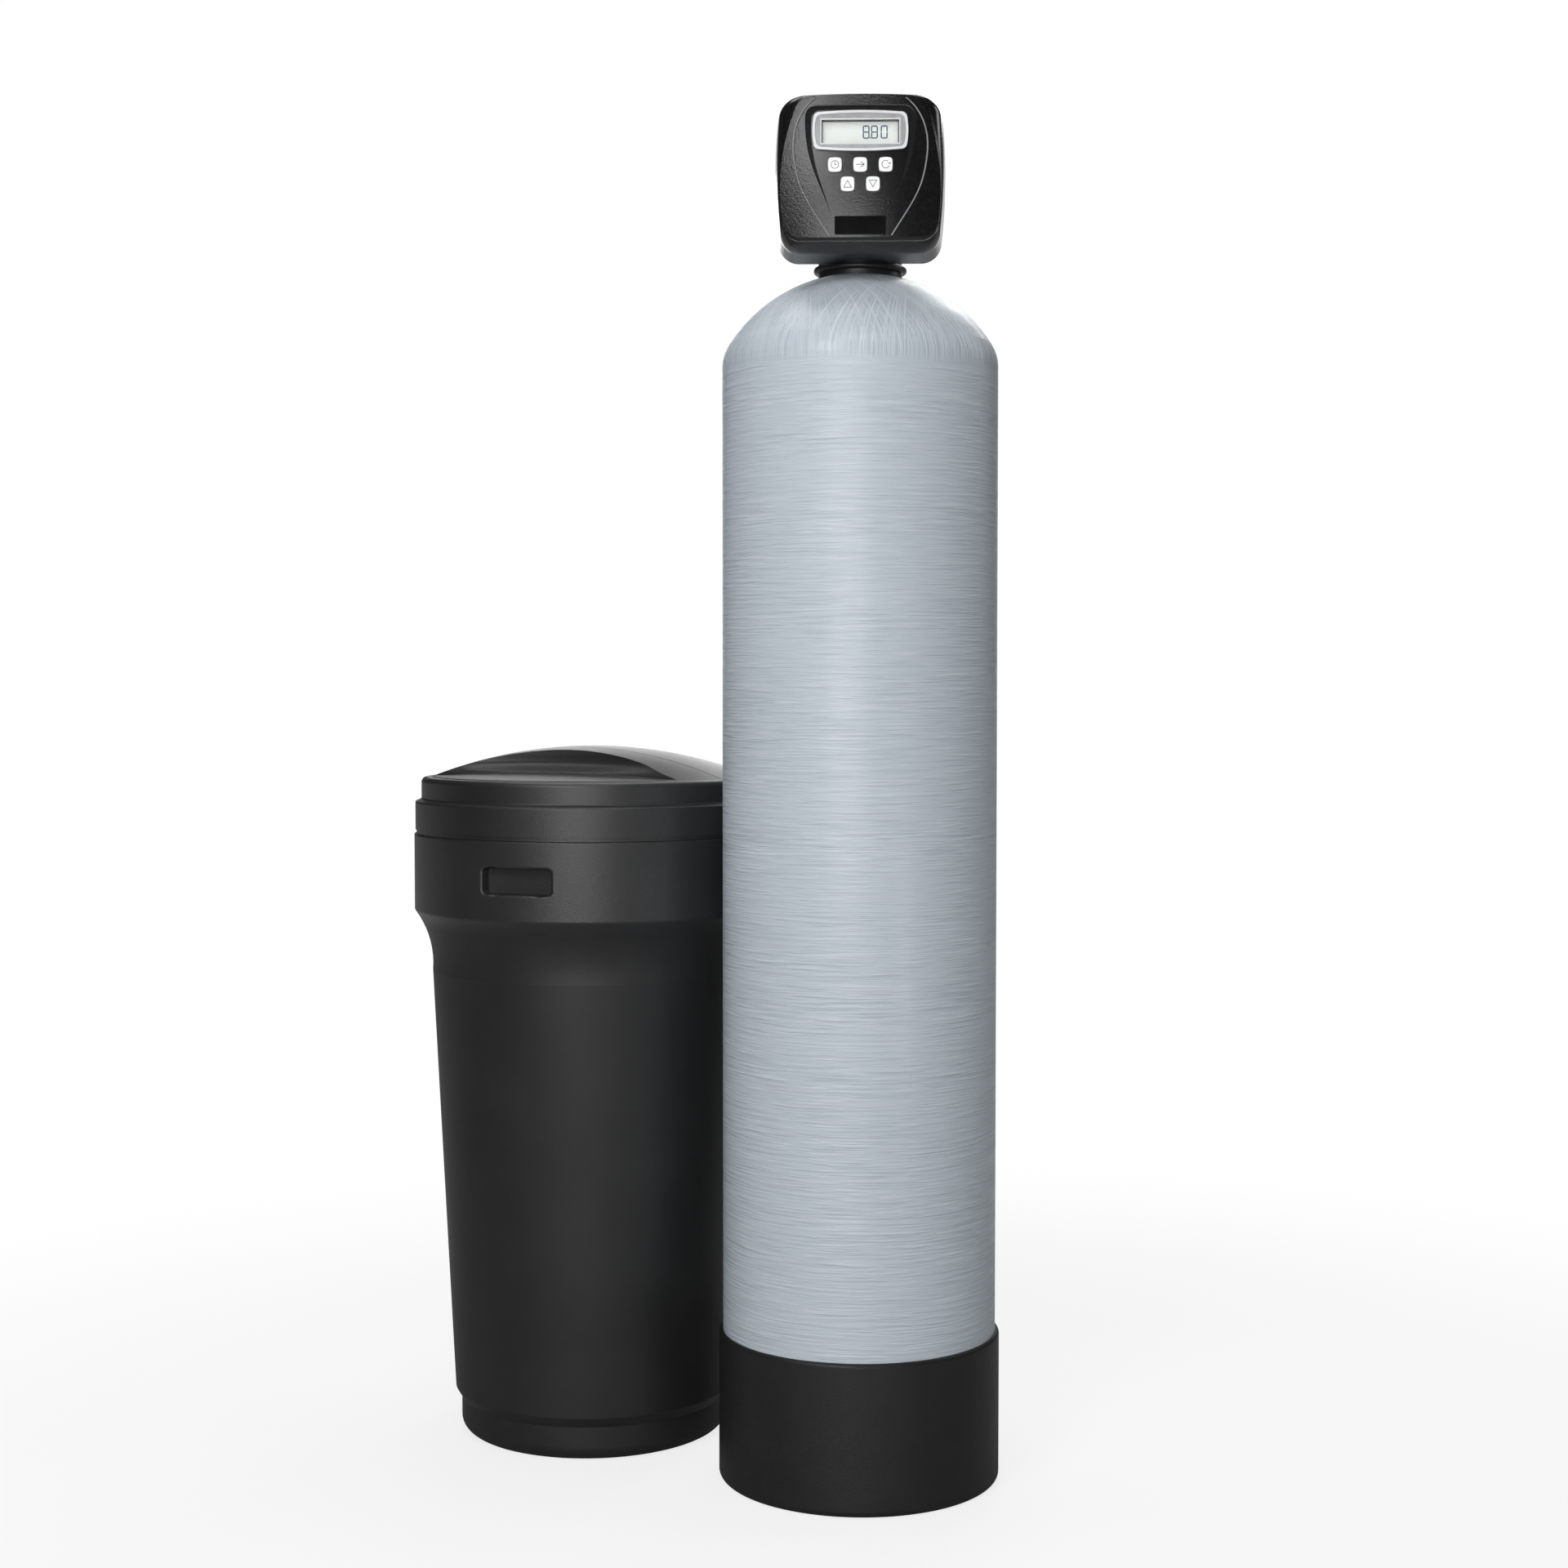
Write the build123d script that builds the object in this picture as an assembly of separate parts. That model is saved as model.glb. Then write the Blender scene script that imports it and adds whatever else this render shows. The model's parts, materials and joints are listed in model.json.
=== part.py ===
from build123d import *
from math import asin, atan2, cos, degrees, radians, sin, sqrt
import os

# Water softener: a fibreglass pressure vessel in a rubber base, an electronic control valve screwed
# into its neck, and a separate round brine tank behind it on the left.
# Millimetres, +Z up, front towards -Y. The origin is on the floor, on the vessel's axis.

# Driving dimensions: shared clearances
SEAT_GAP = 0.3        # between a piece and what it rests on or sits in
RUNNING_GAP = 0.05    # between a shaft and its bore, on the radius
SLIDE_GAP = 0.4       # round a button or a cap that lifts out by hand
BOND_GAP = 0.1        # between the liner and the fibreglass wound on it
OVERRUN = 2.0         # how far a cut runs past the face it opens

# Driving dimensions: pressure vessel
VESSEL_R = 152.5
NECK_TOP = 1335.0
VESSEL_LIFT = 12.0
CROWN_R = 173.0
KNUCKLE_R = 45.0
WINDING_WALL = 5.0
LINER_WALL = 3.0
NECK_RING_R = 46.5
NECK_BORE_R = 36.8
NECK_DEPTH = 40.0
NECK_RING_RISE = 2.0

# Driving dimensions: rubber base of the vessel
BASE_WALL = 4.2
BASE_HEIGHT = 166.0
BASE_FLOOR = 4.0
BASE_LIP_R = 4.0
BASE_FOOT_R = 7.0
BASE_RING_R = 96.0
BASE_RING_WALL = 6.0

# Driving dimensions: riser, distributors and beds
RISER_R = 13.35
RISER_WALL = 2.4
RISER_TOP = 1350.0
BASKET_R = 28.0
BASKET_WALL = 2.5
BASKET_HEIGHT = 78.0
BASKET_SLOT = 1.6
BASKET_SLOTS = 16
UPPER_BASKET_R = 33.0
UPPER_BASKET_HEIGHT = 40.0
GRAVEL_TOP = 150.0
RESIN_TOP = 880.0

# Driving dimensions: valve body
FLANGE_R = 51.3
FLANGE_HEIGHT = 11.0
FLANGE_LIFT = 3.5
FLANGE_FOOT_R = 45.4
FLANGE_EDGE_R = 3.5
COLLAR_R = 46.0
COLLAR_HEIGHT = 8.0
VALVE_AXIS_RISE = 81.0
BODY_R = 36.0
BODY_BORE_R = 30.0
BODY_FRONT = -55.0
BODY_BACK = 58.0
BODY_END_WALL = 6.0
FRONT_FLANGE_R = 48.0
FRONT_FLANGE = 7.0
NECK_THREAD_R = 36.5
ANNULUS_R = 26.0
SLEEVE_WALL = 5.0
ANNULUS_PORT_R = 3.2
ANNULUS_PORTS = 6
O_RING_R = 1.8

# Driving dimensions: valve ports and their fittings
PORT_R = 16.6
PORT_BORE_R = 12.7
PORT_SPREAD = 36.0
PORT_DROP = 12.0
PORT_START = 12.0
PORT_END = 114.0
PORT_BEAD_R = 20.0
PORT_BEAD = 4.0
NUT_R = 24.0
NUT_LENGTH = 24.0
NUT_RIBS = 12
NUT_RIB_R = 2.0
FITTING_FLANGE = 5.0
FITTING_LENGTH = 42.0
FITTING_TAIL_R = 16.0
FITTING_TAIL = 32.0
SIDE_BOSS_R = 12.0
SIDE_BOSS_REACH = 50.0
SIDE_BOSS_RISE = 18.0
SIDE_BOSS_Y = -18.0
SIDE_BORE_R = 7.0
ELBOW_R = 10.0
ELBOW_REACH = 16.0
ELBOW_TURN_LENGTH = 34.0
BARB_R = 8.0
BARB_STEM_R = 6.5
BARB_LENGTH = 22.0
BARBS = 3
LINE_R = 4.76
CAP_NUT_R = 10.5
CAP_NUT_LENGTH = 14.0

# Driving dimensions: injector and meter
INJECTOR_BOSS_R = 16.0
INJECTOR_BOSS_Y = 14.0
INJECTOR_BOSS_TOP = 62.0
INJECTOR_BORE_R = 11.0
INJECTOR_CAP_HEIGHT = 12.0
INJECTOR_CAP_R = 18.0
THROAT_R = 2.2
METER_PLUG_R = 10.0
METER_PLUG_Y = 76.0
METER_BOSS_RISE = 12.0
METER_CAP_R = 13.5
METER_CAP = 8.0
TURBINE_R = 11.4
TURBINE_HUB_R = 3.4
TURBINE_LENGTH = 12.0
TURBINE_BLADES = 6
TURBINE_BLADE = 1.4
TURBINE_PIN_R = 1.2

# Driving dimensions: seals, spacers and piston
SEAL_WIDTH = 3.6
SPACER_LENGTH = 12.4
SPACERS = 5
SPACER_BORE_R = 24.0
SPACER_WINDOWS = 6
SPACER_WINDOW = 9.0
PISTON_R = 20.2
PISTON_WAIST_R = 15.0
PISTON_LENGTH = 46.0
PISTON_LAND = 9.0
PISTON_BORE_R = 11.5
PISTON_WEB = 5.0
PISTON_STROKE = 26.0
ROD_R = 5.0
SCREW_R = 7.0
SCREW_HOLD = 10.0
CAP_LENGTH = 14.0
CAP_SLEEVE_R = 13.0

# Driving dimensions: drive plate and gear train
PLATE = 5.0
CAP_HOLE_R = 22.0
TOOTH_MODULE = 1.25
MAIN_TEETH = 56
WHEEL_TEETH = 28
PINION_TEETH = 10
TIP_SHARE = 0.85
ROOT_SHARE = 1.15
TOOTH_TIP_SHARE = 0.18
TOOTH_ROOT_SHARE = 0.58
GEAR_WIDTH = 7.0
WHEEL_WIDTH = 4.0
GEAR_SPACE = 2.0
PIN_R = 2.5
MAIN_TO_SECOND = 60.0
SECOND_TO_FIRST = 20.0
FIRST_TO_MOTOR = 90.0
MAIN_WEB = 2.5
MAIN_RIM = 4.0
MAIN_SPOKE_HOLES = 6
SPOKE_HOLE_R = 5.5
MOTOR_R = 14.0
MOTOR_LENGTH = 34.0
MOTOR_FLANGE_R = 18.0
MOTOR_FLANGE = 3.0
MOTOR_SHAFT_R = 1.5
GEAR_COVER = 2.5
GEAR_COVER_MARGIN = 5.0
PLATE_SCREW_CIRCLE_R = 42.5
PLATE_SCREWS = 4
PLATE_SCREW_ANGLE = 10.0
SCREW_HEAD_R = 3.8
SCREW_HEAD = 2.6
SCREW_SHANK_R = 2.0
SCREW_SHANK = 9.0

# Driving dimensions: front cover of the valve
COVER_RIM_Y = -52.0
COVER_SHOULDER_Y = -90.0
COVER_FACE_Y = -118.0
COVER_WALL = 3.0
COVER_FACE_WALL = 5.0
COVER_CENTRE_RISE = 98.0
RIM_HALF = 92.0
RIM_TOP_HALF = 87.5
RIM_LOW_HALF = 85.4
COVER_TOP_RISE = 173.7
COVER_LOW_RISE = 7.0
COVER_CROWN = 2.0
COVER_CORNER_R = 22.0
COVER_DRAFT = 2.6
# how far round the cheeks turn, and the steps between shoulder and face where they are drawn
COVER_ROUND_SHARE = 0.97
COVER_ROUND_SHARES = [0.0, 0.45, 0.75, 0.93, 1.0]
FACE_HALF = 83.6
FACE_TOP_HALF = 63.0
FACE_LOW_HALF = 79.0
FACE_TOP_DROP = 2.0
FACE_LOW_RISE = 17.0
CHIN_RISE = 3.0
PANEL_HALF = 52.5
PANEL_LOW_HALF = 30.5
PANEL_TOP_RISE = 156.5
PANEL_LOW_RISE = 47.0
PANEL_CORNER_R = 9.0
PANEL_DROP = 1.0
MOAT_SIDE = 6.5
MOAT_TOP = 5.5
MOAT_DEPTH = 2.6
RIB_WIDTH = 1.4
RIB_HEIGHT = 0.8
RIB_HALF = 71.5
NOTCH_LOW_RISE = 72.0
NOTCH_HEIGHT = 26.0
NOTCH_DEPTH = 9.0

# Driving dimensions: display, badge and buttons
BEZEL_HALF = 50.5
BEZEL_LOW_RISE = 114.0
BEZEL_HEIGHT = 42.3
BEZEL_BULGE = 2.2
BEZEL_CORNER_R = 6.0
BEZEL_PROUD = 3.2
WINDOW_HALF = 41.0
WINDOW_LOW_RISE = 122.2
WINDOW_HEIGHT = 24.7
WINDOW_SHEET = 1.5
WINDOW_LEDGE = 2.5
BADGE_HALF = 27.0
BADGE_LOW_RISE = 26.6
BADGE_HEIGHT = 19.4
BADGE = 1.2
BUTTON_WIDTH = 14.6
BUTTON_HEIGHT = 15.4
BUTTON_CORNER_R = 3.0
BUTTON_BULGE = 0.7
BUTTON_PROUD = 2.4
BUTTON_FLANGE = 1.2
BUTTON_FLANGE_WIDTH = 1.4
BUTTON_STEM_R = 2.2
BUTTON_TRAVEL = 0.8
BUTTON_PITCH = 26.8
UPPER_ROW_RISE = 99.8
LOWER_ROW_RISE = 79.6

# Driving dimensions: electronics
BOARD_HALF = 52.0
BOARD_LOW_RISE = 62.0
BOARD_HEIGHT = 96.0
BOARD = 1.6
BOARD_BACK_Y = -102.4
BOARD_MARGIN = 5.0
BOARD_PIN_R = 1.5
POST_R = 3.5
SWITCH_SIDE = 6.0
SWITCH_HEIGHT = 3.6
SWITCH_PLUNGER_R = 1.7
SWITCH_PLUNGER = 1.2
LCD_MARGIN = 3.0
LCD_DEPTH = 7.0
CONNECTOR_WIDTH = 12.0
CONNECTOR_HEIGHT = 6.0
CONNECTOR_DEPTH = 7.0
CONNECTOR_PITCH = 18.0

# Driving dimensions: brine tank. A step is how far a radius of the tank or its lid lies inside the band's.
TANK_X = -318.0
TANK_Y = 181.2
TANK_TURN = -18.2
TANK_WALL = 4.0
TANK_FOOT_STEP = 52.3
TANK_FOOT_HEIGHT = 40.0
TANK_FOOT_CORNER_R = 16.0
TANK_LOW_STEP = 45.3
TANK_LOW_HEIGHT = 52.0
TANK_WAIST_STEP = 20.8
TANK_BAND_R = 210.8
TANK_RIM = 712.0
TANK_BAND = 90.0
TANK_BAND_EDGE_R = 4.0
TANK_FLARE = 72.0
TANK_RIM_CORNER_R = 2.0
TANK_FLARE_SAG = 7.0
GRIP_WIDTH = 84.0
GRIP_HEIGHT = 29.0
GRIP_DEPTH = 20.0
GRIP_DROP = 45.0
GRIP_LIP_R = 3.0
GRIP_CORNER_R = 5.0

# Driving dimensions: lid of the brine tank
LID_TURN = -23.5
LID_WALL = 3.5
LID_SKIRT_STEP = 1.3
LID_GAP = 4.5
LID_SKIRT = 33.0
LID_SHOULDER = 3.0
LID_STEP_R = 2.0
LID_SIDE_STEP = 8.6
LID_SIDE = 25.5
LID_EDGE_R = 6.0
LID_DOME_MARGIN = 11.7
LID_DOME_RISE = 36.0
LID_SHELF_RISE = 8.0
LID_SCOOP_MID = 61.0
LID_SCOOP_SIDE = 93.5
LID_SCOOP_HALF = 161.5
LID_SCOOP_FOOT = 85.0
# how far the scoop's wall has leaned back, at shares of its height
LID_SCOOP_SHARES = [(0.0, 0.0), (0.04, 0.20), (0.42, 0.30), (0.74, 0.40), (0.91, 0.58), (0.98, 0.80),
                    (1.0, 1.0)]
LID_GROOVE_Y = 31.0
LID_GROOVE = 1.2
LID_SEAM_STEP = 2.6
LID_PLUG_STEP = 5.8
LID_PLUG_DEPTH = 10.0
LID_SEAT_STEP = 4.2

# Driving dimensions: brine well and what it holds
WELL_R = 52.0
WELL_WALL = 2.5
WELL_OFFSET = 89.0
WELL_TURN = 62.0
WELL_DROP = 20.0
WELL_SLOTS = 8
WELL_SLOT = 3.0
WELL_SLOT_HEIGHT = 60.0
WELL_SLOT_LOW = 24.0
WELL_CAP = 2.5
WELL_CAP_SKIRT = 12.0
SPIGOT_RISE = 40.0
SAFETY_R = 17.0
SAFETY_HEIGHT = 58.0
SAFETY_ARM_R = 7.0
FLOAT_R = 26.0
FLOAT_HEIGHT = 52.0
FLOAT_BELOW_LINE = 175.0
FLOAT_ROD_R = 2.2
FLOAT_TRAVEL = 40.0
FLOAT_OFFSET = 19.0
GROMMET_R = 5.0
GROMMET = 5.0
PICKUP_R = 4.76
PICKUP_WALL = 1.5
PICKUP_OFFSET = 30.0
AIR_CHECK_R = 13.0
AIR_CHECK_HEIGHT = 62.0
AIR_CHECK_SLOTS = 8
AIR_CHECK_BALL_R = 6.0
OVERFLOW_BELOW_WAIST = 50.0
OVERFLOW_TURN = 118.0
OVERFLOW_BOSS_R = 24.0
OVERFLOW_BOSS = 10.0
OVERFLOW_R = 11.0
OVERFLOW_WALL = 2.4
OVERFLOW_REACH = 26.0
OVERFLOW_COLLAR = 15.0
OVERFLOW_TAIL_R = 9.5
OVERFLOW_TAIL = 24.0
OVERFLOW_NUT_R = 19.0
OVERFLOW_NUT = 9.0
WASHER_R = 20.0
WASHER = 3.0
LINE_BELOW_WAIST = 15.0
LINE_TURN = 62.0
LINE_BOSS_R = 11.0
LINE_GROMMET_R = 8.5

# Places that follow from the sizes above
RADIAL_REACH = VESSEL_R - KNUCKLE_R
DOME_DROP = sqrt((CROWN_R - KNUCKLE_R) ** 2 - RADIAL_REACH ** 2)
CROWN_Z = NECK_TOP - NECK_RING_RISE - sqrt(CROWN_R ** 2 - NECK_RING_R ** 2)
KNUCKLE_Z = CROWN_Z + DOME_DROP
LOW_CROWN_Z = VESSEL_LIFT + CROWN_R
LOW_KNUCKLE_Z = LOW_CROWN_Z - DOME_DROP
LINER_INSET = WINDING_WALL + BOND_GAP
BED_INSET = LINER_INSET + LINER_WALL + SEAT_GAP
BASE_R = VESSEL_R + SEAT_GAP + BASE_WALL
FLANGE_LOW = NECK_TOP + SEAT_GAP
FLANGE_TOP = FLANGE_LOW + FLANGE_HEIGHT
VALVE_Z = NECK_TOP + VALVE_AXIS_RISE
PORT_Z = VALVE_Z - PORT_DROP
BOSS_Z = VALVE_Z + SIDE_BOSS_RISE
PLATE_BACK_Y = BODY_FRONT
PLATE_FRONT_Y = PLATE_BACK_Y - PLATE
MAIN_PITCH_R = TOOTH_MODULE * MAIN_TEETH / 2
WHEEL_PITCH_R = TOOTH_MODULE * WHEEL_TEETH / 2
PINION_PITCH_R = TOOTH_MODULE * PINION_TEETH / 2
MAIN_BACK_Y = PLATE_FRONT_Y - GEAR_SPACE
SCREW_LENGTH = PISTON_STROKE + SCREW_HOLD
SECOND_BACK_Y = MAIN_BACK_Y - GEAR_WIDTH - GEAR_SPACE
FIRST_BACK_Y = SECOND_BACK_Y - WHEEL_WIDTH - GEAR_SPACE
GEAR_COVER_BACK_Y = FIRST_BACK_Y - WHEEL_WIDTH - GEAR_SPACE
PANEL_Y = COVER_FACE_Y + PANEL_DROP
COVER_INNER_Y = COVER_FACE_Y + COVER_FACE_WALL
BOARD_FRONT_Y = BOARD_BACK_Y - BOARD
COVER_SLOPE_SHARE = (COVER_RIM_Y - PLATE_FRONT_Y) / (COVER_RIM_Y - COVER_SHOULDER_Y)
PLATE_INSET = COVER_WALL + COVER_DRAFT * COVER_SLOPE_SHARE + SEAT_GAP
TANK_FOOT_R = TANK_BAND_R - TANK_FOOT_STEP
TANK_LOW_R = TANK_BAND_R - TANK_LOW_STEP
TANK_WAIST_R = TANK_BAND_R - TANK_WAIST_STEP
TANK_BAND_LOW = TANK_RIM - TANK_BAND
TANK_WAIST_HEIGHT = TANK_BAND_LOW - TANK_FLARE
GRIP_CENTRE = TANK_RIM - GRIP_DROP
LID_SKIRT_R = TANK_BAND_R - LID_SKIRT_STEP
LID_SIDE_R = TANK_BAND_R - LID_SIDE_STEP
LID_SEAM_R = TANK_BAND_R - LID_SEAM_STEP
LID_PLUG_R = TANK_BAND_R - LID_PLUG_STEP
LID_SKIRT_LOW = TANK_RIM + LID_GAP
LID_SKIRT_TOP = LID_SKIRT_LOW + LID_SKIRT
LID_SHOULDER_TOP = LID_SKIRT_TOP + LID_SHOULDER
LID_SHELF = LID_SHOULDER_TOP + LID_SIDE
LID_APEX = LID_SHELF + LID_DOME_RISE
LID_DOME_HALF = LID_SIDE_R - LID_DOME_MARGIN
LID_DOME_R = (LID_DOME_HALF ** 2 + LID_DOME_RISE ** 2) / (2 * LID_DOME_RISE)
WELL_TOP = TANK_RIM - WELL_DROP
OVERFLOW_HEIGHT = TANK_WAIST_HEIGHT - OVERFLOW_BELOW_WAIST
LINE_HEIGHT = TANK_WAIST_HEIGHT - LINE_BELOW_WAIST
FLOAT_LOW = LINE_HEIGHT - FLOAT_BELOW_LINE
SAFETY_LOW = LINE_HEIGHT - SPIGOT_RISE
LEVER_Z = SAFETY_LOW + SAFETY_HEIGHT - 2 * SAFETY_ARM_R


def away(place, angle, distance):
    """The point at a distance from a place, along an angle counted from +X."""
    return (place[0] + distance * cos(radians(angle)), place[1] + distance * sin(radians(angle)))


MAIN_AT = (0.0, VALVE_Z)
SECOND_AT = away(MAIN_AT, MAIN_TO_SECOND, MAIN_PITCH_R + PINION_PITCH_R)
FIRST_AT = away(SECOND_AT, SECOND_TO_FIRST, WHEEL_PITCH_R + PINION_PITCH_R)
MOTOR_AT = away(FIRST_AT, FIRST_TO_MOTOR, WHEEL_PITCH_R + PINION_PITCH_R)
TANK_AT = (TANK_X, TANK_Y)
WELL_AT = away(TANK_AT, WELL_TURN, WELL_OFFSET)
BUTTON_AT = {
    "set_button": (-BUTTON_PITCH, UPPER_ROW_RISE),
    "next_button": (0.0, UPPER_ROW_RISE),
    "regenerate_button": (BUTTON_PITCH, UPPER_ROW_RISE),
    "up_button": (-BUTTON_PITCH / 2, LOWER_ROW_RISE),
    "down_button": (BUTTON_PITCH / 2, LOWER_ROW_RISE),
}


# Helpers for turned, pressed and placed shapes
def rod(radius, length):
    """A cylinder that stands on its own plane."""
    return Cylinder(radius, length, align=(Align.CENTER, Align.CENTER, Align.MIN))


def tube(radius, bore, length):
    """A rod with a bore right through."""
    return rod(radius, length) - Pos(0, 0, -OVERRUN) * rod(bore, length + 2 * OVERRUN)


def block(width, height, depth):
    """A box that stands on its own plane."""
    return Box(width, height, depth, align=(Align.CENTER, Align.CENTER, Align.MIN))


def front(y):
    """The upright plane at depth y whose own x and y are the object's X and Z, facing the front."""
    return Plane(origin=(0, y, 0), x_dir=(1, 0, 0), z_dir=(0, -1, 0))


def backward(x, y, z):
    """A place whose own upward axis points to the back."""
    return Plane(origin=(x, y, z), x_dir=(1, 0, 0), z_dir=(0, 1, 0))


def sideways(x, y, z, side):
    """A place whose own upward axis points to the right for side 1, to the left for side -1."""
    return Plane(origin=(x, y, z), x_dir=(0, 1, 0), z_dir=(side, 0, 0))


def radial(at, angle, distance, z):
    """A place at a distance from an upright axis, whose own upward axis points away from it."""
    place = away(at, angle, distance)
    outward = (cos(radians(angle)), sin(radians(angle)), 0)
    return Plane(origin=(place[0], place[1], z), x_dir=(-outward[1], outward[0], 0), z_dir=outward)


def turned(face, at=(0.0, 0.0)):
    """A solid turned about the upright axis at a place, from a face in the XZ plane."""
    return Pos(at[0], at[1], 0) * revolve(face, axis=Axis.Z)


def outline(points, radii):
    """A face in the XZ plane with rounded corners, from (radius, height) points."""
    corners = [(radius, 0, height) for radius, height in points]
    return make_face(FilletPolyline(*corners, radius=radii, close=True))


def meridian(*edges):
    """A face in the XZ plane inside a closed run of edges."""
    return make_face(Curve(children=list(edges)).edges())


def arc_about(centre, radius, start, end):
    """An arc in the XZ plane about a centre, between two angles counted from +X."""
    stops = [away(centre, angle, radius) for angle in (start, (start + end) / 2, end)]
    return ThreePointArc(*[(stop[0], 0, stop[1]) for stop in stops])


def barrel(half, end_half, low, height, bulge, corner):
    """A face with bulged sides, top and bottom, and rounded corners."""
    top = low + height
    middle = low + height / 2
    sides = [
        ThreePointArc((-end_half, top), (0, top + bulge), (end_half, top)),
        ThreePointArc((end_half, top), (half, middle), (end_half, low)),
        ThreePointArc((end_half, low), (0, low - bulge), (-end_half, low)),
        ThreePointArc((-end_half, low), (-half, middle), (-end_half, top)),
    ]
    face = make_face(sides)
    return fillet(face.vertices(), corner)


def ring_of(shape, count, at=(0.0, 0.0)):
    """Copies of a shape spread evenly about an upright axis at a place."""
    spread = [Rot(0, 0, 360 * index / count) * shape for index in range(count)]
    return [Pos(at[0], at[1], 0) * item for item in spread]


# Pressure vessel
def vessel_solid(inset, tip):
    """The vessel's outer form drawn in by inset, with a flat cut at the radius tip on top."""
    crown = CROWN_R - inset
    knuckle = KNUCKLE_R - inset
    turn = degrees(atan2(DOME_DROP, RADIAL_REACH))
    reach = RADIAL_REACH
    tip_angle = degrees(asin(sqrt(1 - (tip / crown) ** 2)))
    tip_z = CROWN_Z + sqrt(crown ** 2 - tip ** 2)
    low_z = LOW_CROWN_Z - crown
    wall = reach + knuckle
    return turned(meridian(
        arc_about((0.0, LOW_CROWN_Z), crown, -90, -turn),
        arc_about((reach, LOW_KNUCKLE_Z), knuckle, -turn, 0),
        Line((wall, 0, LOW_KNUCKLE_Z), (wall, 0, KNUCKLE_Z)),
        arc_about((reach, KNUCKLE_Z), knuckle, 0, turn),
        arc_about((0.0, CROWN_Z), crown, turn, tip_angle),
        Line((tip, 0, tip_z), (0, 0, tip_z)),
        Line((0, 0, tip_z), (0, 0, low_z)),
    ))


def vessel_winding():
    """The wound fibreglass shell, which stops round the neck ring."""
    shell = vessel_solid(0.0, NECK_RING_R) - vessel_solid(WINDING_WALL, NECK_RING_R)
    return shell - rod(NECK_RING_R + BOND_GAP, NECK_TOP + OVERRUN)


def vessel_liner():
    """The plastic liner with the threaded neck ring moulded to it."""
    shell = vessel_solid(LINER_INSET, NECK_BORE_R) - vessel_solid(LINER_INSET + LINER_WALL, NECK_BORE_R)
    neck = Pos(0, 0, NECK_TOP - NECK_DEPTH) * rod(NECK_RING_R, NECK_DEPTH)
    bore = Pos(0, 0, NECK_TOP - NECK_DEPTH - OVERRUN) * rod(NECK_BORE_R, NECK_DEPTH + 2 * OVERRUN)
    return shell + neck - bore


def tank_base():
    """The rubber cup under the vessel, with an inner ring that carries the bottom dome."""
    inner = VESSEL_R + SEAT_GAP
    cup = turned(outline(
        [(0, 0), (BASE_R, 0), (BASE_R, BASE_HEIGHT), (inner, BASE_HEIGHT), (inner, BASE_FLOOR),
         (0, BASE_FLOOR)],
        [0, BASE_FOOT_R, BASE_LIP_R, 0, 0, 0],
    ))
    ring_top = LOW_CROWN_Z - sqrt(CROWN_R ** 2 - BASE_RING_R ** 2) + SEAT_GAP
    ring = tube(BASE_RING_R, BASE_RING_R - BASE_RING_WALL, ring_top)
    return cup + (ring - vessel_solid(-SEAT_GAP, NECK_RING_R))


# Inside the vessel
def riser_tube():
    """The tube that brings softened water up from the bottom of the vessel."""
    low = basket_low() + BASKET_HEIGHT / 2
    return Pos(0, 0, low) * tube(RISER_R, RISER_R - RISER_WALL, RISER_TOP - low)


def basket_low():
    """The height of the lower distributor's foot, just above the liner's bottom."""
    return LOW_CROWN_Z - sqrt((CROWN_R - BED_INSET) ** 2 - BASKET_R ** 2)


def lower_distributor():
    """The slotted strainer basket at the riser's foot."""
    inner = BASKET_R - BASKET_WALL
    socket = RISER_R + RUNNING_GAP
    top = BASKET_HEIGHT
    body = turned(outline(
        [(0, 0), (inner, 0), (BASKET_R, BASKET_WALL * 2), (BASKET_R, top / 2), (socket + BASKET_WALL, top),
         (socket, top), (socket, top / 2), (socket - BASKET_WALL, top / 2), (inner, top / 2 - BASKET_WALL),
         (inner, BASKET_WALL * 2), (0, BASKET_WALL * 2)],
        [0, 0, 0, BASKET_WALL, 0, 0, 0, 0, 0, 0, 0],
    ))
    slot = block(BASKET_WALL * 4, BASKET_SLOT, top / 2 - BASKET_WALL * 5)
    slot = Pos(BASKET_R, 0, BASKET_WALL * 3) * slot
    for cut in ring_of(slot, BASKET_SLOTS):
        body -= cut
    return Pos(0, 0, basket_low()) * body


def upper_distributor():
    """The slotted strainer that hangs from the valve in the top of the vessel."""
    top = NECK_TOP - NECK_DEPTH - SEAT_GAP
    socket = RISER_R + SEAT_GAP
    wall = BASKET_WALL
    height = UPPER_BASKET_HEIGHT
    body = turned(outline(
        [(socket, 0), (UPPER_BASKET_R - wall, 0), (UPPER_BASKET_R, wall), (UPPER_BASKET_R, height),
         (ANNULUS_R, height), (ANNULUS_R, height - wall), (UPPER_BASKET_R - wall, height - wall),
         (UPPER_BASKET_R - wall, wall), (socket, wall)],
        [0, 0, 0, 0, 0, 0, 0, 0, 0],
    ))
    slot = Pos(UPPER_BASKET_R, 0, wall * 3) * block(wall * 4, BASKET_SLOT, height - wall * 6)
    for cut in ring_of(slot, BASKET_SLOTS):
        body -= cut
    return Pos(0, 0, top - height) * body


def bed(low, top):
    """A bed of grains that fills the liner between two heights, round the riser and its basket."""
    fill = vessel_solid(BED_INSET, NECK_BORE_R)
    slab = Pos(0, 0, low) * rod(BASE_R, top - low)
    basket_top = basket_low() + BASKET_HEIGHT + SEAT_GAP
    basket = Pos(0, 0, low - top) * rod(BASKET_R + SEAT_GAP, basket_top + top - low)
    riser = rod(RISER_R + SEAT_GAP, RISER_TOP)
    return (fill & slab) - basket - riser


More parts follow.
